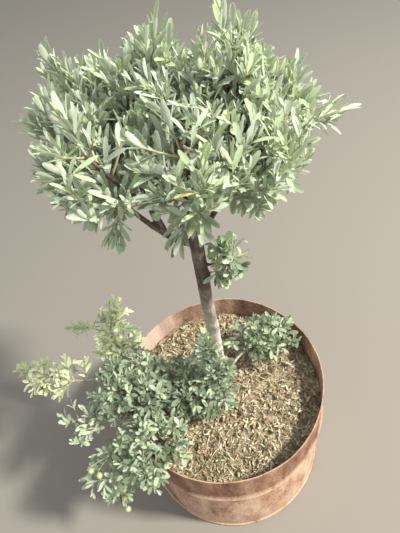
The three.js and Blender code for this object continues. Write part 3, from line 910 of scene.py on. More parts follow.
BOUGHS = [
    Bough("bough_left", "trunk", 0.985, (-108, -12, 1104), (8.5, 4.6), -0.3),
    Bough("bough_right", "trunk", 0.97, (94, 6, 1104), (7.5, 4.4), 0.1),
    Bough("bough_back", "trunk", 0.955, (-8, 90, 1116), (7, 4.2), 0.12),
    Bough("bough_front", "trunk", 0.99, (4, -76, 1150), (7, 4.2), 0.2),
    Bough("leader", "trunk", 1, (48, 10, 1184), (10, 5.4), 0.4),
    Bough("leader_left", "leader", 0.45, (-24, 16, 1204), (5.6, 4.2), 0.3),
    Bough("bough_left_front", "bough_left", 0.5, (-78, -72, 1164), (5, 4), 0.3),
    Bough("bough_left_back", "bough_left", 0.62, (-96, 72, 1162), (5, 4), 0.25),
    Bough("bough_right_front", "bough_right", 0.5, (78, -66, 1134), (5, 4), 0.25),
    Bough("bough_right_back", "bough_right", 0.6, (88, 84, 1136), (5, 4), 0.25),
    Bough("low_bough_left", "trunk", 0.06, (-344, -88, 468), (9, 5.5), 0.24),
    Bough("low_bough_back", "trunk", 0.05, (-226, 66, 486), (8, 4.6), 0.2),
    Bough("low_bough_far", "low_bough_back", 0.72, (-352, 36, 486), (5, 4), 0.1),
    Bough("low_bough_rim", "low_bough_left", 0.5, (-212, -52, 474), (5, 4), 0.3),
    Bough("low_bough_hanging", "low_bough_left", 0.74, (-316, -138, 442), (5, 4), 0.1),
    Bough("low_bough_front", "trunk", 0.04, (-138, -142, 436), (7, 4.2), 0.2),
    Bough("low_bough_foot", "trunk", 0.09, (-34, -30, 432), (4.6, 4), 0.4),
    Bough("low_bough_right", "trunk", 0.05, (76, 66, 424), (5.5, 4), 0.3),
]


@dataclass(frozen=True)
class Mass:
    """One mass of foliage: an ellipsoid, the bough it grows from, and the named tips that it reaches."""

    name: str
    bough: str
    middle: Triple
    size: Triple
    shoots: tuple[Triple, ...] = ()
    twigs: int = 9
    olives: tuple[Triple, ...] = ()
    basal: bool = False
    rise: float = 0.5
    # The share of the bough where a stem leaves its side, where it doesn't carry on from its tip.
    side: float | None = None
    # How much emptier it is than others, and which way that grows.
    bare: float = 0.0
    barer: Triple = (0.0, 0.0, 0.0)
    leaf_scale: float = 1.0
    light: float = 0.0

    @property
    def leaf_piece(self) -> str:
        """Names the joined piece that its leaves go to."""
        return "basal_leaves" if self.basal else f"crown_leaves_{'left' if self.middle[0] < 30 else 'right'}"


def basal_mass(*rule: object, twigs: int = 6, **more: object) -> Mass:
    """Makes a mass of basal shoots by the same arguments."""
    return Mass(*rule, twigs=twigs, basal=True, **more)


# Where the middles of the olives are that show from the front.
CROWN_OLIVES = ((-106, -25, 1102), (-169, -65, 1122), (-136, -58, 1054), (-62, -31, 1090))
LOW_OLIVES = ((-378, -205, 439), (-354, -222, 444), (-288, -205, 430), (-284, -231, 407), (-290, -240, 352),
              (-315, -256, 345), (-312, -276, 318))
OLIVES = np.array(CROWN_OLIVES + LOW_OLIVES, float)
# The way from an olive to the open, which its leaves leave free, and the spots on it that they keep clear of.
OPEN_WAY = np.array([0.0, -0.45, 0.9])
OPEN_SPOTS = np.vstack([OLIVES + OPEN_WAY * step for step in (0, 22, 44)])

# The light of a basal mass is how much the photo shows it to get: 0 in full shade, 1 and more in full sun.
MASSES = [
    Mass("crown_left", "bough_left", (-150, 4, 1200), (80, 94, 118),
         ((-184, -30, 1128), (-148, -24, 1056), (-212, 2, 1270), (-176, 6, 1304)), olives=CROWN_OLIVES),
    Mass("crown_left_front", "bough_left_front", (-114, -98, 1246), (90, 84, 82), ((-140, -88, 1316),),
         twigs=11),
    Mass("crown_front", "bough_front", (4, -122, 1250), (92, 84, 80),
         ((14, -70, 1084), (-24, -104, 1094), (48, -100, 1092), (12, -120, 1088)), twigs=12),
    Mass("crown_right_front", "bough_right_front", (98, -92, 1216), (88, 86, 88), ((100, -60, 1100),),
         twigs=10),
    Mass("crown_right", "bough_right", (146, 4, 1192), (80, 92, 116),
         ((262, 2, 1204), (194, 14, 1272), (212, 0, 1238), (112, -16, 1072))),
    Mass("crown_right_back", "bough_right_back", (112, 116, 1198), (92, 90, 106),
         ((162, 70, 1276), (176, 112, 1250))),
    Mass("crown_back", "bough_back", (-6, 148, 1200), (94, 86, 108), ((34, 84, 1298),)),
    Mass("crown_left_back", "bough_left_back", (-126, 112, 1212), (92, 88, 104),
         ((-170, 64, 1338), (-92, 84, 1312))),
    Mass("crown_top_right", "leader", (84, 4, 1270), (60, 80, 104),
         ((90, 0, 1372), (118, 4, 1356), (56, -8, 1312))),
    Mass("crown_top_left", "leader_left", (-28, 6, 1262), (64, 82, 100),
         ((-4, 2, 1372), (-74, 0, 1334), (-32, 30, 1340))),
    basal_mass("trunk_sprout", "trunk", (60, -6, 922), (54, 42, 58),
               ((90, -12, 926), (34, -12, 878), (54, -14, 962)), side=0.9, bare=0.5, leaf_scale=1.2,
               light=0.35),
    basal_mass("low_left", "low_bough_left", (-398, -82, 478), (66, 66, 56), ((-436, -80, 474),),
               barer=(-0.5, 0.0, 0.2), light=0.8),
    basal_mass("low_hanging", "low_bough_hanging", (-338, -200, 372), (86, 80, 102),
               ((-364, -234, 302), (-322, -244, 316), (-396, -172, 362), (-304, -230, 380)), twigs=4,
               olives=LOW_OLIVES, rise=-0.2, barer=(-0.5, 0.0, -0.15), light=0.65),
    basal_mass("low_back", "low_bough_back", (-288, 142, 560), (90, 82, 100),
               ((-258, 166, 650), (-410, 168, 566)), twigs=5, bare=0.3, barer=(0.3, 0.0, 0.5), light=1.6),
    basal_mass("low_far", "low_bough_far", (-478, 66, 500), (140, 58, 50),
               ((-580, 104, 492), (-528, 58, 470), (-468, 18, 474), (-402, 0, 474)), leaf_scale=1.15,
               light=1.8),
    basal_mass("low_rim", "low_bough_rim", (-244, -30, 508), (126, 112, 80), twigs=11, light=0.12),
    basal_mass("low_front", "low_bough_front", (-204, -188, 468), (106, 102, 76), ((-202, -262, 462),),
               twigs=8, barer=(0.55, -0.2, 0.0), light=0.32),
    basal_mass("low_foot", "low_bough_foot", (-64, -32, 464), (116, 104, 74),
               ((-20, -44, 716), (-8, -40, 660), (-4, -52, 596), (24, -46, 574), (2, -72, 520)), twigs=9,
               light=0.1),
    basal_mass("low_right", "low_bough_right", (144, 98, 446), (124, 76, 56), ((226, 120, 458),), light=0.2),
]
MASS_MIDDLES = np.array([mass.middle for mass in MASSES], float)
MASS_SIZES = np.array([mass.size for mass in MASSES], float)
# The least light of each tint: the tints paint the light and shade that a spray gets.
TINT_STEPS = {Tint.FULL_SUN: 1.4, Tint.YOUNG: 1.05, Tint.SILVER: 0.86, Tint.SUNLIT: 0.58, Tint.SAGE: 0.34}
# Where the crown has gaps, and how wide they are.
GAPS = np.array(((-134, -104, 1294), (-106, -122, 1284), (-38, -146, 1280)), float)
GAP_WIDE = 46.0
# Spots before the crown where the nearest leaf has turned yellow.
TURNED_LEAVES = ((-56, -147, 1308), (-34, -199, 1238), (-21, -203, 1239), (24, -205, 1226))


@dataclass
class Limb:
    """A limb's centreline and the radius at each of its points."""

    points: np.ndarray
    radii: np.ndarray


@dataclass
class Wood:
    """The woody frame: the trunk and boughs by the solids' rule, and the bark that covers them."""

    foot: float = 365.3
    fork: float = 985.0
    trunk_radii: tuple[float, float] = (17.0, 14.2)
    flare_radius: float = 27.0
    flare_height: float = 75.0
    trunk_rings: int = 14
    trunk_sides: int = 20
    # How many half turns each sway has, and how far it goes to the right and to the back.
    sway: tuple[Triple, ...] = ((0.55, 0, 5), (1.3, 2, 3))
    bough_rings: int = 5
    bough_sides: int = 12
    # Where along a bough its bend is pulled from, and how far that lies on in its parent's direction.
    bough_pull: float = 0.45
    bough_ahead: float = 0.06
    # Stems that start this far under the fork belong to the low limbs.
    low_stems: float = 200.0
    stem_sides: int = 8
    finer: int = 5
    voxel: float = 2.0
    relief: float = 0.55
    relief_size: float = 9.0
    relief_stretch: Triple = (1, 1, 0.32)
    # The radius from which relief grows, over what width it does, and its least share.
    relief_growth: Triple = (3.0, 6.0, 0.15)
    lump: float = 0.9
    lump_size: float = 34.0
    flute: float = 1.3
    flute_count: int = 3
    flute_winding: float = 240.0
    knot_out: float = 15.0
    # Height, angle, width and height of each knot and healed pruning scar.
    knots: tuple[tuple[float, float, float, float], ...] = (
        (872, 0, 11, 4.0), (830, 120, 9, 3.2), (772, 230, 10, 2.4), (690, 60, 12, 3.0), (610, 300, 10, 2.6),
        (545, 170, 13, 3.4), (470, 20, 12, 3.0))
    limbs: dict[str, Limb] = field(default_factory=dict)
    smooth_limbs: dict[str, Limb] = field(default_factory=dict)

    def __post_init__(self) -> None:
        """Works out every limb, once with the solids' rings and once with finer ones."""
        for limbs, finer in ((self.limbs, 1), (self.smooth_limbs, self.finer)):
            limbs["trunk"] = self.trunk(self.trunk_rings * finer)
            for spec in BOUGHS:
                limbs[spec.name] = self.bough(spec, self.bough_rings * finer)
        limbs = self.limbs.values()
        self.starts = np.vstack([limb.points[:-1] for limb in limbs])
        self.steps = np.vstack([limb.points[1:] for limb in limbs]) - self.starts
        self.fat = np.vstack([np.stack([limb.radii[:-1], limb.radii[1:]], 1) for limb in limbs])

    def trunk(self, rings: int) -> Limb:
        """Works out the trunk's rings: a gentle sway, a taper and a flare at the foot.

        Args:
            rings: How many steps it has.

        Returns:
            The trunk.
        """
        shares = np.linspace(0, 1, rings + 1) ** 1.3
        points = np.array([vec(0, 0, mix(self.foot, self.fork, t)) for t in shares])
        for turns, x, y in self.sway:
            points += np.sin(math.pi * turns * shares)[:, None] * vec(x, y, 0)
        flare = np.maximum(0, 1 - (points[:, 2] - self.foot) / self.flare_height) ** 2
        radii = mix(*self.trunk_radii, shares) + flare * (self.flare_radius - self.trunk_radii[0])
        return Limb(points, radii)

    def bough(self, spec: Bough, rings: int) -> Limb:
        """Works out a bough's rings, from the middle of its parent to its tip.

        Args:
            spec: The bough's rule.
            rings: How many steps it has.

        Returns:
            The bough.
        """
        point, direction = along(self.limbs[spec.parent].points, spec.at)
        tip = vec(*spec.tip)
        reach = np.linalg.norm(tip - point)
        pull = point + (tip - point) * self.bough_pull
        pull = pull + UP * spec.lift * reach + direction * self.bough_ahead * reach
        return Limb(arch(point, pull, tip, rings), mix(*spec.radii, np.linspace(0, 1, rings + 1)))

    def nearest_bark(self, points: np.ndarray) -> tuple[np.ndarray, np.ndarray]:
        """Finds the nearest bark to each of some points.

        Args:
            points: The points.

        Returns:
            For each point the distance to the bark, and the radius of the limb there.
        """
        off = points[:, None, :] - self.starts[None]
        share = np.clip((off * self.steps).sum(-1) / (self.steps ** 2).sum(-1), 0, 1)
        radius = self.fat[:, 0] + (self.fat[:, 1] - self.fat[:, 0]) * share
        gap = np.linalg.norm(off - share[..., None] * self.steps, axis=-1) - radius
        nearest = np.arange(len(points)), gap.argmin(1)
        return gap[nearest], radius[nearest]

    def build(self, stems: list[Limb]) -> None:
        """Builds the bark: limbs and stems fused into one skin, then given relief.

        Args:
            stems: The stems that carry the bough tips on into the masses.
        """
        pale = ("#736a5b", "#a69e8c", "#cbc4b2")
        # The upper trunk's shaded colours are a painted shade under the crown.
        crown_bark = OliveBark("young_olive_bark_with_painted_shade", ("#40342b", "#65564a", "#8a7c6e"),
                               ("#a3998a", "#dad2c4", "#f0eade"))
        low_bark = OliveBark("low_shoot_bark", pale, pale)
        low_names = tuple(spec.name for spec in BOUGHS if spec.low)
        crown_names = ("trunk", *(spec.name for spec in BOUGHS if not spec.low))
        stem_parting = self.fork - self.low_stems
        for piece, names, low, bark in (("trunk_and_crown_bark", crown_names, False, crown_bark),
                                        ("low_limb_bark", low_names, True, low_bark)):
            mesh = Mesh()
            for name in names:
                limb = self.smooth_limbs[name]
                mesh.tube(limb.points, limb.radii, self.trunk_sides if name == "trunk" else self.bough_sides)
            for stem in stems:
                if (stem.points[0][2] < stem_parting) == low:
                    mesh.tube(stem.points, stem.radii, self.stem_sides)
            self.fuse(mesh.piece(piece, [bark], "olive_bark", names))

    def fuse(self, thing: bpy.types.Object) -> None:
        """Fuses a piece's tubes into one skin and gives it the bark's relief.

        Args:
            thing: The piece.
        """
        remesh = thing.modifiers.new("fuse", "REMESH")
        remesh.mode = "VOXEL"
        remesh.voxel_size = self.voxel * MM
        remesh.use_smooth_shade = True
        relax = thing.modifiers.new("relax", "SMOOTH")
        relax.factor = 0.5
        relax.iterations = 3
        fused = bpy.data.meshes.new_from_object(thing.evaluated_get(bpy.context.evaluated_depsgraph_get()))
        thing.modifiers.clear()
        materials = list(thing.data.materials)
        thing.data = fused
        fused.materials.clear()
        for material in materials:
            fused.materials.append(material)
        places, normals = (np.empty(len(fused.vertices) * 3) for _ in range(2))
        fused.vertices.foreach_get("co", places)
        fused.vertex_normals.foreach_get("vector", normals)
        points = places.reshape(-1, 3) / MM
        stretch = vec(*self.relief_stretch)
        push = self.trunk_relief(points) + np.array(
            [self.relief * wander(p * stretch, self.relief_size, 3) + self.lump * wander(p, self.lump_size, 2)
             for p in points])
        # Thin limbs get less relief. The points are taken in blocks, so that memory holds the distances.
        blocks = np.array_split(points, 1 + len(points) // 4000)
        radius = np.concatenate([self.nearest_bark(block)[1] for block in blocks])
        start, width, least = self.relief_growth
        thick = np.clip((radius - start) / width, least, 1)
        places += (normals.reshape(-1, 3) * (push * thick)[:, None] * MM).ravel()
        fused.vertices.foreach_set("co", places)
        fused.polygons.foreach_set("use_smooth", [True] * len(fused.polygons))
        fused.update()
        log.info("%s: %d triangles once fused", thing.name, sum(len(p.vertices) - 2 for p in fused.polygons))

    def trunk_relief(self, points: np.ndarray) -> np.ndarray:
        """Gives how far the trunk's flutes, which wind slowly round it, and its knots push points out.

        Args:
            points: Points on the bark.

        Returns:
            The push at each point.
        """
        axis = self.smooth_limbs["trunk"].points
        x, y = (np.interp(points[:, 2], axis[:, 2], axis[:, i]) for i in (0, 1))
        off = points[:, :2] - np.stack([x, y], 1)
        angle = np.arctan2(off[:, 1], off[:, 0]) + points[:, 2] / self.flute_winding
        on_trunk = (np.hypot(off[:, 0], off[:, 1]) < self.flare_radius + 4) & (points[:, 2] < self.fork - 20)
        push = self.flute * np.cos(self.flute_count * angle) * on_trunk
        for z, turn, wide, high in self.knots:
            middle = vec(np.interp(z, axis[:, 2], axis[:, 0]), np.interp(z, axis[:, 2], axis[:, 1]), z)
            middle = middle + side_of(UP, math.radians(turn)) * self.knot_out
            push += high * np.exp(-(np.linalg.norm(points - middle, axis=1) / wide) ** 2)
        return push


class Space:
    """A mass's space: an ellipsoid, cut by a plane towards each neighbour and by the drum and soil."""

    margin = 1.0
    drum_clearance = 4.0
    rim_clearance = 6.0

    def __init__(self, mass: Mass, drum: Drum, soil: Soil) -> None:
        """Works out the planes for a mass.

        Args:
            mass: The mass.
            drum: The drum, which it stays clear of.
            soil: The soil, which it stays clear of.
        """
        self.middle, self.size = vec(*mass.middle), vec(*mass.size)
        self.drum, self.soil = drum, soil
        directions, limits = [], []
        for other in MASSES:
            if other is mass:
                continue
            towards = vec(*other.middle) - self.middle
            direction = unit(towards)
            mine, theirs = self.reach(direction), 1 / np.linalg.norm(direction / vec(*other.size))
            directions.append(direction)
            limits.append(np.linalg.norm(towards) * mine / (mine + theirs) - self.margin)
        self.directions, self.limits = np.array(directions), np.array(limits)

    def reach(self, direction: np.ndarray) -> float:
        """Gives how far the ellipsoid reaches in a direction."""
        return float(1 / np.linalg.norm(direction / self.size))

    def clear_of_drum(self, points: np.ndarray, thick: float) -> np.ndarray:
        """Says which points are clear of the drum and the soil.

        Args:
            points: The points.
            thick: How far the thing reaches round them.

        Returns:
            Whether each is clear.
        """
        margin = thick + self.drum_clearance
        radius = np.hypot(points[:, 0], points[:, 1])
        outside = radius > self.drum.radius + self.drum.hoop_out + margin
        over_wall = radius > self.drum.radius - self.drum.wall - margin
        over_rim = self.drum.height + self.rim_clearance + margin
        return points[:, 2] > np.where(outside, margin, np.where(over_wall, over_rim, self.soil.top + margin))

    def in_cell(self, points: np.ndarray, thick: float) -> np.ndarray:
        """Says which points are on the mass's side of every plane and clear of the drum."""
        sides = (points - self.middle) @ self.directions.T < self.limits - thick
        return sides.all(1) & self.clear_of_drum(points, thick)

    def in_body(self, points: np.ndarray) -> np.ndarray:
        """Says which points are inside the ellipsoid."""
        return np.linalg.norm((points - self.middle) / self.size, axis=1) <= 1.0


def in_any_mass(points: np.ndarray, stretch: float) -> np.ndarray:
    """Says which points are inside any mass's ellipsoid, stretched by a factor."""
    off = (points[:, None, :] - MASS_MIDDLES[None]) / MASS_SIZES[None]
    return (np.linalg.norm(off, axis=-1) <= stretch).any(1)


def even_direction(i: int) -> np.ndarray:
    """Gives one of a row of directions that spread evenly over a sphere, however many are taken.

    Args:
        i: Its number, from 0.

    Returns:
        The direction.
    """
    turn_step, height_step = 0.7548776662, 0.569840291
    turn, height = FULL_TURN * (((i + 1) * turn_step) % 1), 1 - 2 * (((i + 1) * height_step) % 1)
    flat = math.sqrt(1 - height * height)
    return vec(flat * math.cos(turn), flat * math.sin(turn), height)


@dataclass(frozen=True)
class LeafKind:
    """The life sizes of one kind of leaf, and how closely its fine shoots fill a mass."""

    long: float
    wide: float
    internode: float
    # How far apart fine shoots aim, how near wood may be to an aim, and how far a shoot reaches.
    spacing: float
    near: float
    reach: float
    # How full a mass is, how fast it thins out away from the drum's middle, and how far its leaves rise.
    openness: float
    thinning: float
    upright: float


CROWN_LEAF = LeafKind(long=46, wide=10.6, internode=9.5, spacing=18.6, near=12, reach=84, openness=0.04,
                      thinning=0.0, upright=0.8)
BASAL_LEAF = LeafKind(long=35, wide=12.6, internode=11, spacing=22.5, near=14, reach=66, openness=0.5,
                      thinning=3.2, upright=0.3)


@dataclass(frozen=True)
class Habit:
    """How one kind of shoot bears its leaves."""

    # Whether it may leave the mass's ellipsoid.
    free: bool
    # The share of the shoot where its leaves start, and their size against their kind's.
    first: float
    scale: float
    # The share of the leaves that are there, and the sizes of the last pair and of the one before it.
    keep: float = 0.84
    tips: tuple[float, float] = (0.6, 0.84)


INNER_TWIG = Habit(False, 0.5, 1.0)
FREE_TWIG = Habit(True, 0.35, 1.08, 0.9, (0.84, 0.94))
SIDE_SHOOT = Habit(True, 0.3, 0.86, 0.9, (0.84, 0.94))
FINE_SHOOT = Habit(False, 0.16, 0.96)


class Leaves:
    """Leaves gathered as rows of numbers, then made all at once."""

    # Share of the length, and share of the full width there.
    stations = ((0.08, 0.2), (0.34, 0.8), (0.68, 1.0), (0.93, 0.6))
    sides = 4
    fold = 0.32
    thick = 0.7
    shortening = 0.12

    def __init__(self) -> None:
        """Starts with no leaf."""
        self.rows: list[tuple] = []

    def turn_yellow(self, spot: np.ndarray) -> None:
        """Turns the leaf whose middle is nearest to a spot yellow.

        Args:
            spot: The spot.
        """
        middles = np.array([root + out * long / 2 for root, out, _, long, *_ in self.rows])
        nearest = int(np.linalg.norm(middles - spot, axis=1).argmin())
        self.rows[nearest] = (*self.rows[nearest][:-1], Tint.DRY)

    def mesh(self) -> Mesh:
        """Makes the mesh of all leaves.

        Returns:
            The gathered mesh, with an upper and an under skin on each leaf.
        """
        # Each vertex by its share along, share across and share of the thickness.
        shape = [(0, 0, 0)]
        for s, w in self.stations:
            shape += [(s, -w, 0), (s, 0, 0.5), (s, w, 0), (s, 0, -0.5)]
        shape.append((1, 0, 0))
        faces = closed_faces(len(self.stations), self.sides)
        root, out, face, long, wide, curl, tints = zip(*self.rows)
        root, out, face = (np.array(column)[:, None] for column in (root, out, face))
        long, wide, curl = (np.array(column)[:, None] for column in (long, wide, curl))
        s, u, w = (np.array(column, float)[None] for column in zip(*shape))
        forward = s * long * (1 - self.shortening * np.abs(curl) * s)
        sideways = u * wide / 2
        raised = self.fold * np.abs(u) * wide / 2 + w * self.thick - curl * long * s ** 2
        vertices = (root + out * forward[..., None] + np.cross(face, out) * sideways[..., None]
                    + face * raised[..., None]).reshape(-1, 3)
        every, slots = [], []
        for n, tint in enumerate(tints):
            every += [[n * len(shape) + i for i in row] for row in faces]
            slots += [tint.value if i % self.sides < 2 else UNDER_OF[tint] for i in range(len(faces))]
        mesh = Mesh()
        mesh.add(vertices, every, slots)
        return mesh


@dataclass
class Foliage:
    """All masses of foliage, and the joined pieces that they add to."""

    wood: Wood
    drum: Drum
    soil: Soil
    stems: list[Limb] = field(default_factory=list)
    olives: Mesh = field(default_factory=Mesh)

    def __post_init__(self) -> None:
        """Starts each joined piece."""
        self.leaves = {name: Leaves() for name in ("crown_leaves_left", "crown_leaves_right", "basal_leaves")}
        self.twigs = {name: Mesh() for name in ("crown_twigs", "basal_twigs")}

    def grow(self) -> None:
        """Grows every mass."""
        for number, mass in enumerate(MASSES, 1):
            Growth(self, mass, number).grow()
        for spot in TURNED_LEAVES:
            self.leaves["crown_leaves_left"].turn_yellow(vec(*spot))

    def build(self) -> None:
        """Makes the joined pieces and dresses them."""
        for name, leaves in self.leaves.items():
            nodes = tuple(mass.name for mass in MASSES if mass.leaf_piece == name)
            slot = "basal_shoot_leaf" if name == "basal_leaves" else "olive_leaf"
            leaves.mesh().piece(name, LEAF_SKINS, slot, nodes, 70)
        green = ("#8b8568", "#aeaa88", "#cbc9a9")
        bark = OliveBark("green_olive_twig", green, green, 3.0, 20.0)
        for name, twigs in self.twigs.items():
            twigs.piece(name, [bark], "olive_bark")
        pale = FruitSkin("pale_olive_skin", "#b9c886", "#d3dcab")
        blue_green = FruitSkin("blue_green_olive_skin", "#a2c49a", "#bdd6b0")
        self.olives.piece("olives", [pale, blue_green, bark], "olive_leaf")


@dataclass
class Growth:
    """One mass as it grows: its stem, twigs, fine shoots, leaves and olives, by the solids' rule."""

    foliage: Foliage
    mass: Mass
    # Its place in the list, from 1, which seeds its draws.
    number: int
    stem_rings: int = 3
    stem_radii: tuple[float, float] = (4.0, 3.4)
    # How far a stem goes past the mass's middle and is pulled on ahead, and how deep it starts in its bough.
    stem_past: float = 0.35
    stem_pull: float = 0.4
    stem_inside: float = 3.0
    twig_radii: tuple[float, float] = (2.1, 1.2)
    twig_thick: float = 2.2
    # How far back down the stem a twig leaves, the limits of its start, and how far it bows aside and sags.
    twig_slant: float = 0.5
    twig_starts: tuple[float, float] = (0.14, 0.97)
    twig_bow: float = 0.05
    twig_sag: float = 0.05
    shoot_radii: tuple[float, float] = (1.15, 0.6)
    side_shoot_radii: tuple[float, float] = (1.1, 0.6)
    shoot_thick: float = 0.6
    leaf_thick: float = 2.0
    twig_share: float = 0.8
    shortest_twig: float = 31.5
    gap: float = 0.3
    limb_clearance: float = 1.5
    # What a twig tries in turn: the share of its way, and how steeply it lifts.
    twig_tries: tuple[tuple[float, float], ...] = (
        (1, 0), (0.86, 0), (0.9, 0.4), (0.7, 0), (0.7, 0.5), (0.55, 0), (0.42, 0.3), (0.36, 0))
    # The share of a free shoot where each side shoot starts, and the angle round it.
    side_shoots: tuple[tuple[float, float], ...] = ((0.35, 0.4), (0.48, 2.5), (0.6, 4.6))
    # Where on its length side shoots end, and how far out they do: a share of it, up to a limit.
    side_end: float = 0.93
    side_out: float = 0.16
    side_out_most: float = 16.0
    # Fine shoots aim from a share of the way out, gather outside by a power, and leave patches of a size.
    aim_from: float = 0.12
    aim_power: float = 0.45
    patch_size: float = 55.0
    # How far under the nearest wood a shoot starts, how much its aim's distance counts, how far it rises.
    shoot_drop: float = 0.8
    aim_weight: float = 0.3
    shoot_rise: float = 0.22
    # How far a shoot is pulled on ahead and sags, and the length of its steps.
    shoot_ahead: float = 0.14
    shoot_sag: float = 0.15
    shoot_step: float = 14.0
    # How much emptier a gap is, and from how far out in metres and over what width a mass thins out.
    gap_depth: float = 1.6
    thin_from: float = 0.2
    thin_width: float = 0.19
    # A leaf's angle to its shoot at the shoot's start and tip, how far it varies, and how far leaves rise.
    leaf_angles: tuple[float, float] = (0.9, 0.24)
    angle_about: float = 0.15
    turn_about: float = 0.3
    leaf_rise: float = 0.6
    # How far a leaf's upper side faces back, up, and up again on a level shoot.
    face_back: float = 0.2
    face_up: float = 0.35
    level_face_up: float = 1.1
    # What a leaf tries in turn where its space is tight.
    leaf_tries: Triple = (1.0, 0.8, 0.62)
    leaf_reach: float = 1.12
    leaf_sizes: tuple[float, float] = (0.6, 1.14)
    leaf_widths: tuple[float, float] = (0.75, 1.25)
    leaf_curl: tuple[float, float] = (0.02, 0.2)
    # The shares of the leaves that are young at a shoot's tip, lighter than their spray, and dry.
    young_share: float = 0.5
    lighter_share: float = 0.22
    dry_share: float = 0.002
    # The crown's ellipsoid, the light inside it and how much more there is at its skin.
    crown_middle: Triple = (0, 0, 1190)
    crown_size: Triple = (250, 240, 190)
    inner_light: float = 0.27
    outer_light: float = 0.62
    # The crown's level, and the ways up it, to its right and up a basal mass that add full light.
    crown_level: float = 1200.0
    upward_brightening: float = 700.0
    side_brightening: float = 1000.0
    basal_brightening: float = 400.0
    olive_long: float = 20.0
    olive_wide: float = 16.0
    olive_stalk: float = 12.0
    olive_sizes: tuple[float, float] = (0.86, 1.06)
    olive_lean: float = 0.12
    # How far leaves keep from an olive's middle, against its width.
    olive_room: float = 0.85

    def __post_init__(self) -> None:
        """Works out the mass's space and picks its kind of leaf and its joined pieces."""
        basal = self.mass.basal
        self.space = Space(self.mass, self.foliage.drum, self.foliage.soil)
        self.kind = BASAL_LEAF if basal else CROWN_LEAF
        self.bunch = self.foliage.twigs["basal_twigs" if basal else "crown_twigs"]
        self.leaves = self.foliage.leaves[self.mass.leaf_piece]

    def grow(self) -> None:
        """Grows the mass and reports it."""
        before, seed = len(self.leaves.rows), self.number * 1000
        stem = self.stem()
        twigs = [self.grow_twig(path, habit, Draws(seed)) for path, habit, seed in self.twig_paths(stem)]
        wood = [stem, *twigs]
        shoots = self.fill(wood, Draws(seed + 900))
        self.hang_olives(np.vstack(wood), Draws(seed + 950))
        grown = len(self.leaves.rows) - before
        log.info("%s: %d twigs, %d fine shoots, %d leaves", self.mass.name, len(twigs), shoots, grown)

    def stem(self) -> np.ndarray:
        """Grows the mass's stem, from its bough's tip or side.

        Returns:
            The points of the solids' stem.
        """
        limb = self.foliage.wood.limbs[self.mass.bough]
        if self.mass.side is None:
            root, direction = along(limb.points, 1)
            root = root + direction * self.gap
        else:
            root = along(limb.points, self.mass.side)[0]
            direction = square_to(UP, vec(*self.mass.middle) - root)
            while self.foliage.wood.nearest_bark(root[None])[0][0] < self.gap:
                root = root + direction * self.gap / 2
        far = self.space.middle + (root - self.space.middle) * -self.stem_past
        pull = root + direction * self.stem_pull * np.linalg.norm(far - root)
        inside = root - direction * (2 * self.gap + self.stem_inside)
        fine = np.vstack([inside, arch(root, pull, far, self.stem_rings * 4)])
        self.foliage.stems.append(Limb(fine, mix(*self.stem_radii, np.linspace(0, 1, len(fine)))))
        return arch(root, pull, far, self.stem_rings)

    def twig_paths(self, stem: np.ndarray) -> list[tuple[np.ndarray, Habit, int]]:
        """Finds the main twigs: free ones to the named tips, and others spread evenly inside the mass.

        Args:
            stem: The stem's points.

        Returns:
            Each twig's two ends, its habit and the seed of its draws.
        """
        seed = self.number * 1000
        aims = [(vec(*tip), FREE_TWIG, seed + 500 + i) for i, tip in enumerate(self.mass.shoots)]
        for i in range(self.mass.twigs):
            aim = unit(even_direction(i + self.number) + UP * self.mass.rise)
            target = self.space.middle + aim * self.twig_share * self.space.reach(aim)
            aims.append((target, INNER_TWIG, seed + i))
        paths = [(self.twig_path(stem, target, habit.free), habit, seed) for target, habit, seed in aims]
        return [row for row in paths if row[0] is not None]

    def twig_path(self, stem: np.ndarray, target: np.ndarray, free: bool) -> np.ndarray | None:
        """Finds the longest twig from the stem towards a target that stays in the mass's space.

        Args:
            stem: The stem's points.
            target: Where the twig aims.
            free: Whether it may leave the ellipsoid.

        Returns:
            The twig's two ends, or None.
        """
        root, axis = stem[0], stem[-1] - stem[0]
        foot = float(np.clip((target - root) @ axis / (axis @ axis), 0, 1.2))
        off = np.linalg.norm(target - root - axis * foot)
        share = foot - self.twig_slant * off / np.linalg.norm(axis)
        start = along(stem, float(np.clip(share, *self.twig_starts)))[0]
        step, near_stem = 6, 12
        for part, lift in self.twig_tries:
            tip = start + (target - start) * part
            tip = tip + UP * lift * np.linalg.norm(tip - start)
            long = float(np.linalg.norm(tip - start))
            if long < self.shortest_twig:
                return None
            steps = math.ceil(long / step)
            points = start + (tip - start) * np.linspace(0, 1, steps + 1)[:, None]
            near = np.arange(steps + 1) * step < near_stem
            good = near | self.off_limbs(points, self.twig_thick)
            good &= self.space.in_cell(points, self.twig_thick)
            if not free:
                good &= self.space.in_body(points)
            if good.all():
                return np.array([start, tip])
        return None

    def off_limbs(self, points: np.ndarray, thick: float) -> np.ndarray:
        """Says which points of something thick are clear of the bark, the drum and the soil."""
        clear = self.foliage.wood.nearest_bark(points)[0] > thick + self.limb_clearance
        return clear & self.space.clear_of_drum(points, thick)

    def grow_twig(self, path: np.ndarray, habit: Habit, draws: Draws) -> np.ndarray:
        """Grows a main twig and the leaves on its outer part.

        Args:
            path: The twig's two ends.
            habit: How it bears its leaves.
            draws: Its random numbers.

        Returns:
            The twig's points.
        """
        start, tip = path
        long, phase = span(path), draws.draw() * math.pi
        bow = side_of(unit(tip - start), draws.turn()) * draws.between(0, self.twig_bow) * long
        points = arch(start, (start + tip) / 2 - UP * self.twig_sag * long + bow, tip, 6)
        self.bunch.tube(points, np.linspace(*self.twig_radii, 7), 6)
        self.dress(points, habit, phase, draws)
        if habit.free:
            self.branch(points, draws)
        return points

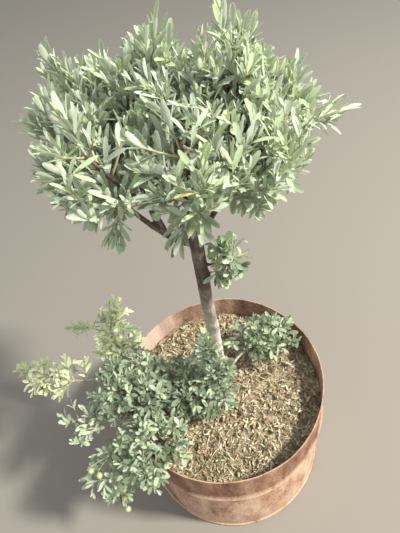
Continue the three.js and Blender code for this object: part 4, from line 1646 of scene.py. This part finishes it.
    def branch(self, points: np.ndarray, draws: Draws) -> None:
        """Gives a free shoot its side shoots, which run beside it to below its tip.

        Args:
            points: The shoot's points.
            draws: Random numbers.
        """
        long = span(points)
        for share, turn in self.side_shoots:
            start, ahead = along(points, share)
            aside = side_of(ahead, turn + draws.about(0.4))
            out = min(self.side_out_most, self.side_out * long)
            tip = start + ahead * (self.side_end - share) * long + aside * out
            shoot = arch(start, (start + tip) / 2 + aside * 4, tip, 4)
            if self.off_limbs(shoot[1:], self.shoot_thick).all():
                self.bunch.tube(shoot, np.linspace(*self.side_shoot_radii, 5), 4)
                self.dress(shoot, SIDE_SHOOT, turn, draws)

    def aims(self, draws: Draws) -> list[np.ndarray]:
        """Deals out the spots that fine shoots aim at, from the inside out.

        Args:
            draws: Random numbers.

        Returns:
            The spots.
        """
        middle, size = self.space.middle, self.space.size
        count = int(4 / 3 * math.pi * float(np.prod(size)) / self.kind.spacing ** 3)
        aims = []
        for i in range(count):
            aim = even_direction(i + self.number * 7)
            share = mix(self.aim_from, 1.0, draws.draw() ** self.aim_power)
            aims.append(middle + aim * self.space.reach(aim) * share)
        aims = [aim for aim in aims if wander(aim, self.patch_size, 2, 31.0) < self.fullness(aim)]
        return sorted(aims, key=lambda aim: float(np.linalg.norm((aim - middle) / size)))

    def fullness(self, aim: np.ndarray) -> float:
        """Says how readily the mass fills a spot: less on its barer side, in gaps and far out.

        Args:
            aim: The spot.

        Returns:
            The most that the noise there may be for a shoot to grow.
        """
        barer = self.mass.bare + float((aim - self.space.middle) @ vec(*self.mass.barer)) / 100
        if not self.mass.basal:
            away = np.linalg.norm(GAPS - aim, axis=1).min()
            barer += self.gap_depth * float(np.exp(-(away / GAP_WIDE) ** 2))
        outward = min(self.thin_width, max(0.0, np.hypot(*aim[:2]) / 1000 - self.thin_from))
        return self.kind.openness - barer - self.kind.thinning * outward

    def fill(self, wood: list[np.ndarray], draws: Draws) -> int:
        """Sends fine shoots to the parts of the mass that no wood comes near yet, from the inside out.

        Args:
            wood: The points of its stem and twigs, one row for each.
            draws: Random numbers.

        Returns:
            How many shoots grew.
        """
        kind, grown, rows, heads = self.kind, 0, [], []
        shares = (0.0, 0.34, 0.67, 1.0)
        for row in wood:
            for point, following in zip(row[:-1], row[1:]):
                rows += [point + (following - point) * t for t in shares]
                heads += [unit(following - point)] * len(shares)
        for target in self.aims(draws):
            known = np.array(rows)
            away = np.linalg.norm(known - target, axis=1)
            if away.min() < kind.near:
                continue
            # A shoot leaves from lower down than the nearest wood, so that it rises at a slant.
            lower = target - UP * self.shoot_drop * kind.upright * away.min()
            nearest = int((np.linalg.norm(known - lower, axis=1) + self.aim_weight * away).argmin())
            start, ahead = known[nearest], heads[nearest]
            long = float(np.linalg.norm(target - start))
            tip = start + (target - start) * min(1.0, kind.reach / long)
            tip = tip + UP * self.shoot_rise * kind.upright * long
            points = self.shoot(start, ahead, tip)
            if points is None:
                continue
            grown += 1
            self.bunch.tube(points, np.linspace(*self.shoot_radii, len(points)), 4)
            self.dress(points, FINE_SHOOT, draws.draw() * math.pi, draws)
            rows += list(points[1:])
            heads += list(tangents(points)[1:])
        return grown

    def shoot(self, start: np.ndarray, ahead: np.ndarray, tip: np.ndarray) -> np.ndarray | None:
        """Works out a fine shoot, as far as it stays in reach and clear of bark and drum.

        Args:
            start: Where it leaves its wood.
            ahead: The direction of the wood there.
            tip: Where it aims.

        Returns:
            The shoot's points, or None where it is too short.
        """
        long = float(np.linalg.norm(tip - start))
        pull = (start + tip) / 2 + ahead * self.shoot_ahead * long - UP * self.shoot_sag * long
        points = arch(start, pull, tip, max(3, math.ceil(long / self.shoot_step)))
        clear = self.off_limbs(points[1:], self.shoot_thick) & in_any_mass(points[1:], 1.0)
        kept = len(points) if clear.all() else 1 + int(np.argmin(clear))
        return points[:kept] if kept > 2 else None

    def dress(self, points: np.ndarray, habit: Habit, phase: float, draws: Draws) -> None:
        """Sets pairs of leaves along a shoot, each pair square to the last.

        Args:
            points: The shoot's points.
            habit: How it bears its leaves.
            phase: The angle of the first pair.
            draws: Random numbers.
        """
        kind, first = self.kind, habit.first
        tint = self.spray_tint(points[-1], draws)
        pairs = max(2, round(span(points) * (1 - first) / kind.internode))
        pair_sizes = {pairs: habit.tips[0], pairs - 1: habit.tips[1]}
        for k in range(pairs + 1):
            share = min(1.0, first + (1 - first) * k / pairs)
            place, ahead = along(points, share)
            for turn in (phase + k * math.pi / 2, phase + k * math.pi / 2 + math.pi):
                if draws.draw() > habit.keep:
                    continue
                size = mix(*self.leaf_sizes, draws.draw()) * habit.scale * self.mass.leaf_scale
                size *= pair_sizes.get(k, 1)
                spread = mix(*self.leaf_angles, share ** 2) + draws.about(self.angle_about)
                side = side_of(ahead, turn + draws.about(self.turn_about))
                lift = kind.upright * self.leaf_rise * float(np.clip(1 + 1.2 * ahead[2], 0, 1))
                out = unit(ahead * math.cos(spread) + side * math.sin(spread) + UP * lift)
                # Leaves of a level shoot twist until their upper side faces the sky.
                sky = self.face_up + self.level_face_up * (1 - max(0.0, ahead[2]))
                face = square_to(out, ahead - side * self.face_back + UP * sky)
                leaf_tint = self.leaf_tint(tint, k >= pairs - 1, draws)
                self.set_leaf(place, out, face, size, habit.free, leaf_tint, draws)

    def leaf_tint(self, tint: Tint, at_tip: bool, draws: Draws) -> Tint:
        """Deals a leaf its tint: mostly its spray's, often young at the tip, and seldom dry in the crown.

        Args:
            tint: The spray's tint.
            at_tip: Whether the leaf is of the last two pairs.
            draws: Random numbers.

        Returns:
            The leaf's tint.
        """
        if at_tip and tint not in (Tint.IN_SHADE, Tint.FULL_SUN) and draws.draw() < self.young_share:
            tint = Tint.YOUNG
        elif draws.draw() < self.lighter_share:
            tint = LIGHTER[tint]
        return Tint.DRY if draws.draw() < self.dry_share and not self.mass.basal else tint

    def set_leaf(self, place: np.ndarray, out: np.ndarray, face: np.ndarray, size: float, free: bool,
                 tint: Tint, draws: Draws) -> None:
        """Sets one leaf, smaller where its space is tight, or not at all.

        Args:
            place: Where it leaves the shoot.
            out: Its direction.
            face: The direction that its upper side faces.
            size: Its size against its kind's.
            free: Whether it may leave the ellipsoids.
            tint: Its tint.
            draws: Random numbers.
        """
        curl = draws.between(*self.leaf_curl)
        wide = self.kind.wide * draws.between(*self.leaf_widths)
        for share in self.leaf_tries:
            long = self.kind.long * size * share
            spine = place + out * long * np.array([[0.5], [1.0]])
            if not (free or in_any_mass(spine[1:], self.leaf_reach).all()):
                continue
            if self.off_limbs(spine, self.leaf_thick).all() and self.off_olives(place, out * long):
                row = (place - out * 0.4, out, face, long, wide * size * share, curl, tint)
                self.leaves.rows.append(row)
                return

    def off_olives(self, place: np.ndarray, blade: np.ndarray) -> bool:
        """Says whether a leaf keeps clear of every olive and of the open way before it.

        Args:
            place: Where the leaf leaves its shoot.
            blade: The way from there to its tip.

        Returns:
            Whether it does.
        """
        points = place + blade * np.array([[0.3], [0.65], [1.0]])
        away = np.linalg.norm(points[:, None] - OPEN_SPOTS, axis=-1)
        return bool((away > self.olive_wide * self.olive_room).all())

    def spray_tint(self, tip: np.ndarray, draws: Draws) -> Tint:
        """Deals a spray its tint as painted light: brighter high, outside and sunward, darker low and inside.

        Args:
            tip: Where its shoot ends.
            draws: Random numbers.

        Returns:
            The tint.
        """
        if self.mass.basal:
            light = self.mass.light + (tip[2] - self.mass.middle[2]) / self.basal_brightening
        else:
            away = np.linalg.norm((tip - vec(*self.crown_middle)) / vec(*self.crown_size))
            light = self.inner_light + self.outer_light * min(1.05, away)
            light += (tip[2] - self.crown_level) / self.upward_brightening
            light += tip[0] / self.side_brightening
        light += draws.about(0.3)
        return next((tint for tint, least in TINT_STEPS.items() if light > least), Tint.IN_SHADE)

    def hang_olives(self, known: np.ndarray, draws: Draws) -> None:
        """Hangs the mass's olives, each from a short bearing shoot off the nearest wood.

        Args:
            known: The points of its stem and twigs.
            draws: Random numbers.
        """
        for olive in self.mass.olives:
            middle = vec(*olive)
            top = middle + UP * (self.olive_long / 2 + self.olive_stalk * 0.7)
            start = known[int(np.linalg.norm(known - top - UP * 8, axis=1).argmin())]
            points = arch(start, (start + top) / 2 + UP * 0.18 * np.linalg.norm(top - start), top, 5)
            self.bunch.tube(points, np.linspace(1.2, 0.8, 6), 5)
            self.olive(top, middle, draws)

    def olive(self, top: np.ndarray, middle: np.ndarray, draws: Draws) -> None:
        """Makes one olive on its stalk.

        Args:
            top: Where the stalk starts.
            middle: The olive's middle.
            draws: Random numbers.
        """
        olives, skin, stalk = self.foliage.olives, 0 if self.mass.basal else 1, 2
        half, size = self.olive_long / 2, draws.between(*self.olive_sizes)
        end = middle + UP * half * size * 0.94
        bend = vec(draws.about(1.5), draws.about(1.5), 0)
        olives.tube(np.array([top, (top + end) / 2 + bend, end]), vec(0.8, 0.7, 0.9), 5, stalk)
        t = np.linspace(0, math.pi, 15)
        radii = self.olive_wide / 2 * size * np.sin(t) ** 0.95 * (1 - 0.05 * np.cos(t))
        lean = vec(draws.about(self.olive_lean), draws.about(self.olive_lean), -1)
        points = middle - lean * half * size * np.cos(t)[:, None]
        olives.tube(points, np.maximum(radii, 0.05), 18, skin)


@dataclass
class Studio:
    """The pale floor, the soft lights and the camera."""

    focal_pixels: float = 430.0
    long_side_pixels: int = 533
    sensor: float = 36.0
    eye: Triple = (-0.002, -0.633, 1.574)
    pitch_degrees: float = 46.5
    roll_degrees: float = -10.6
    floor_half: float = 12.0

    def camera(self) -> None:
        """Sets the camera where the photo was taken from."""
        data = bpy.data.cameras.new("camera")
        data.sensor_width = self.sensor
        data.lens = self.focal_pixels / self.long_side_pixels * self.sensor
        camera = bpy.data.objects.new("camera", data)
        turn = Matrix.Rotation(math.radians(90 - self.pitch_degrees), 4, "X")
        roll = Matrix.Rotation(math.radians(self.roll_degrees), 4, "Z")
        camera.matrix_world = Matrix.Translation(self.eye) @ turn @ roll
        bpy.context.scene.collection.objects.link(camera)
        bpy.context.scene.camera = camera

    def floor(self) -> None:
        """Lays a plain pale floor."""
        mesh, half = bpy.data.meshes.new("floor"), self.floor_half
        corners = [(-half, -half, 0), (half, -half, 0), (half, half, 0), (-half, half, 0)]
        mesh.from_pydata(corners, [], [(0, 1, 2, 3)])
        mesh.materials.append(PaintedBoard().material())
        floor = bpy.data.objects.new("floor", mesh)
        bpy.context.scene.collection.objects.link(floor)

    def light(self, name: str, place: Triple, aim: Triple, size: float, power: float, colour: str) -> None:
        """Adds one soft square light.

        Args:
            name: The light's name.
            place: Where it hangs, in metres.
            aim: Where it points, in metres.
            size: Its side, in metres.
            power: Its power in watts.
            colour: Its sRGB hex colour.
        """
        data = bpy.data.lights.new(name, "AREA")
        data.size, data.energy, data.color = size, power, linear(colour)[:3]
        lamp = bpy.data.objects.new(name, data)
        lamp.location = place
        lamp.rotation_euler = (Vector(aim) - Vector(place)).to_track_quat("-Z", "Y").to_euler()
        bpy.context.scene.collection.objects.link(lamp)

    def build(self) -> None:
        """Builds the floor, the lights and the sky's soft fill."""
        self.floor()
        self.light("key", (4.71, -1.62, 5.94), (0, 0, 0.6), 0.8, 925, "#fffaf0")
        self.light("fill", (-2.0, -2.2, 2.4), (0, 0, 0.7), 2.6, 7, "#f2f5ff")
        world = bpy.data.worlds.new("studio")
        world.use_nodes = True
        background = world.node_tree.nodes["Background"]
        background.inputs["Color"].default_value = linear("#eef1f4")
        background.inputs["Strength"].default_value = 0.7
        bpy.context.scene.world = world
        bpy.context.scene.view_settings.view_transform = "Standard"


def main() -> None:
    """Builds the studio and every part of the tree, in order."""
    studio = Studio()
    studio.camera()
    studio.build()
    drum, soil, wood = Drum(), Soil(), Wood()
    drum.build()
    soil.build()
    foliage = Foliage(wood, drum, soil)
    foliage.grow()
    wood.build(foliage.stems)
    foliage.build()
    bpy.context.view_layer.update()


if __name__ == "__main__":
    main()
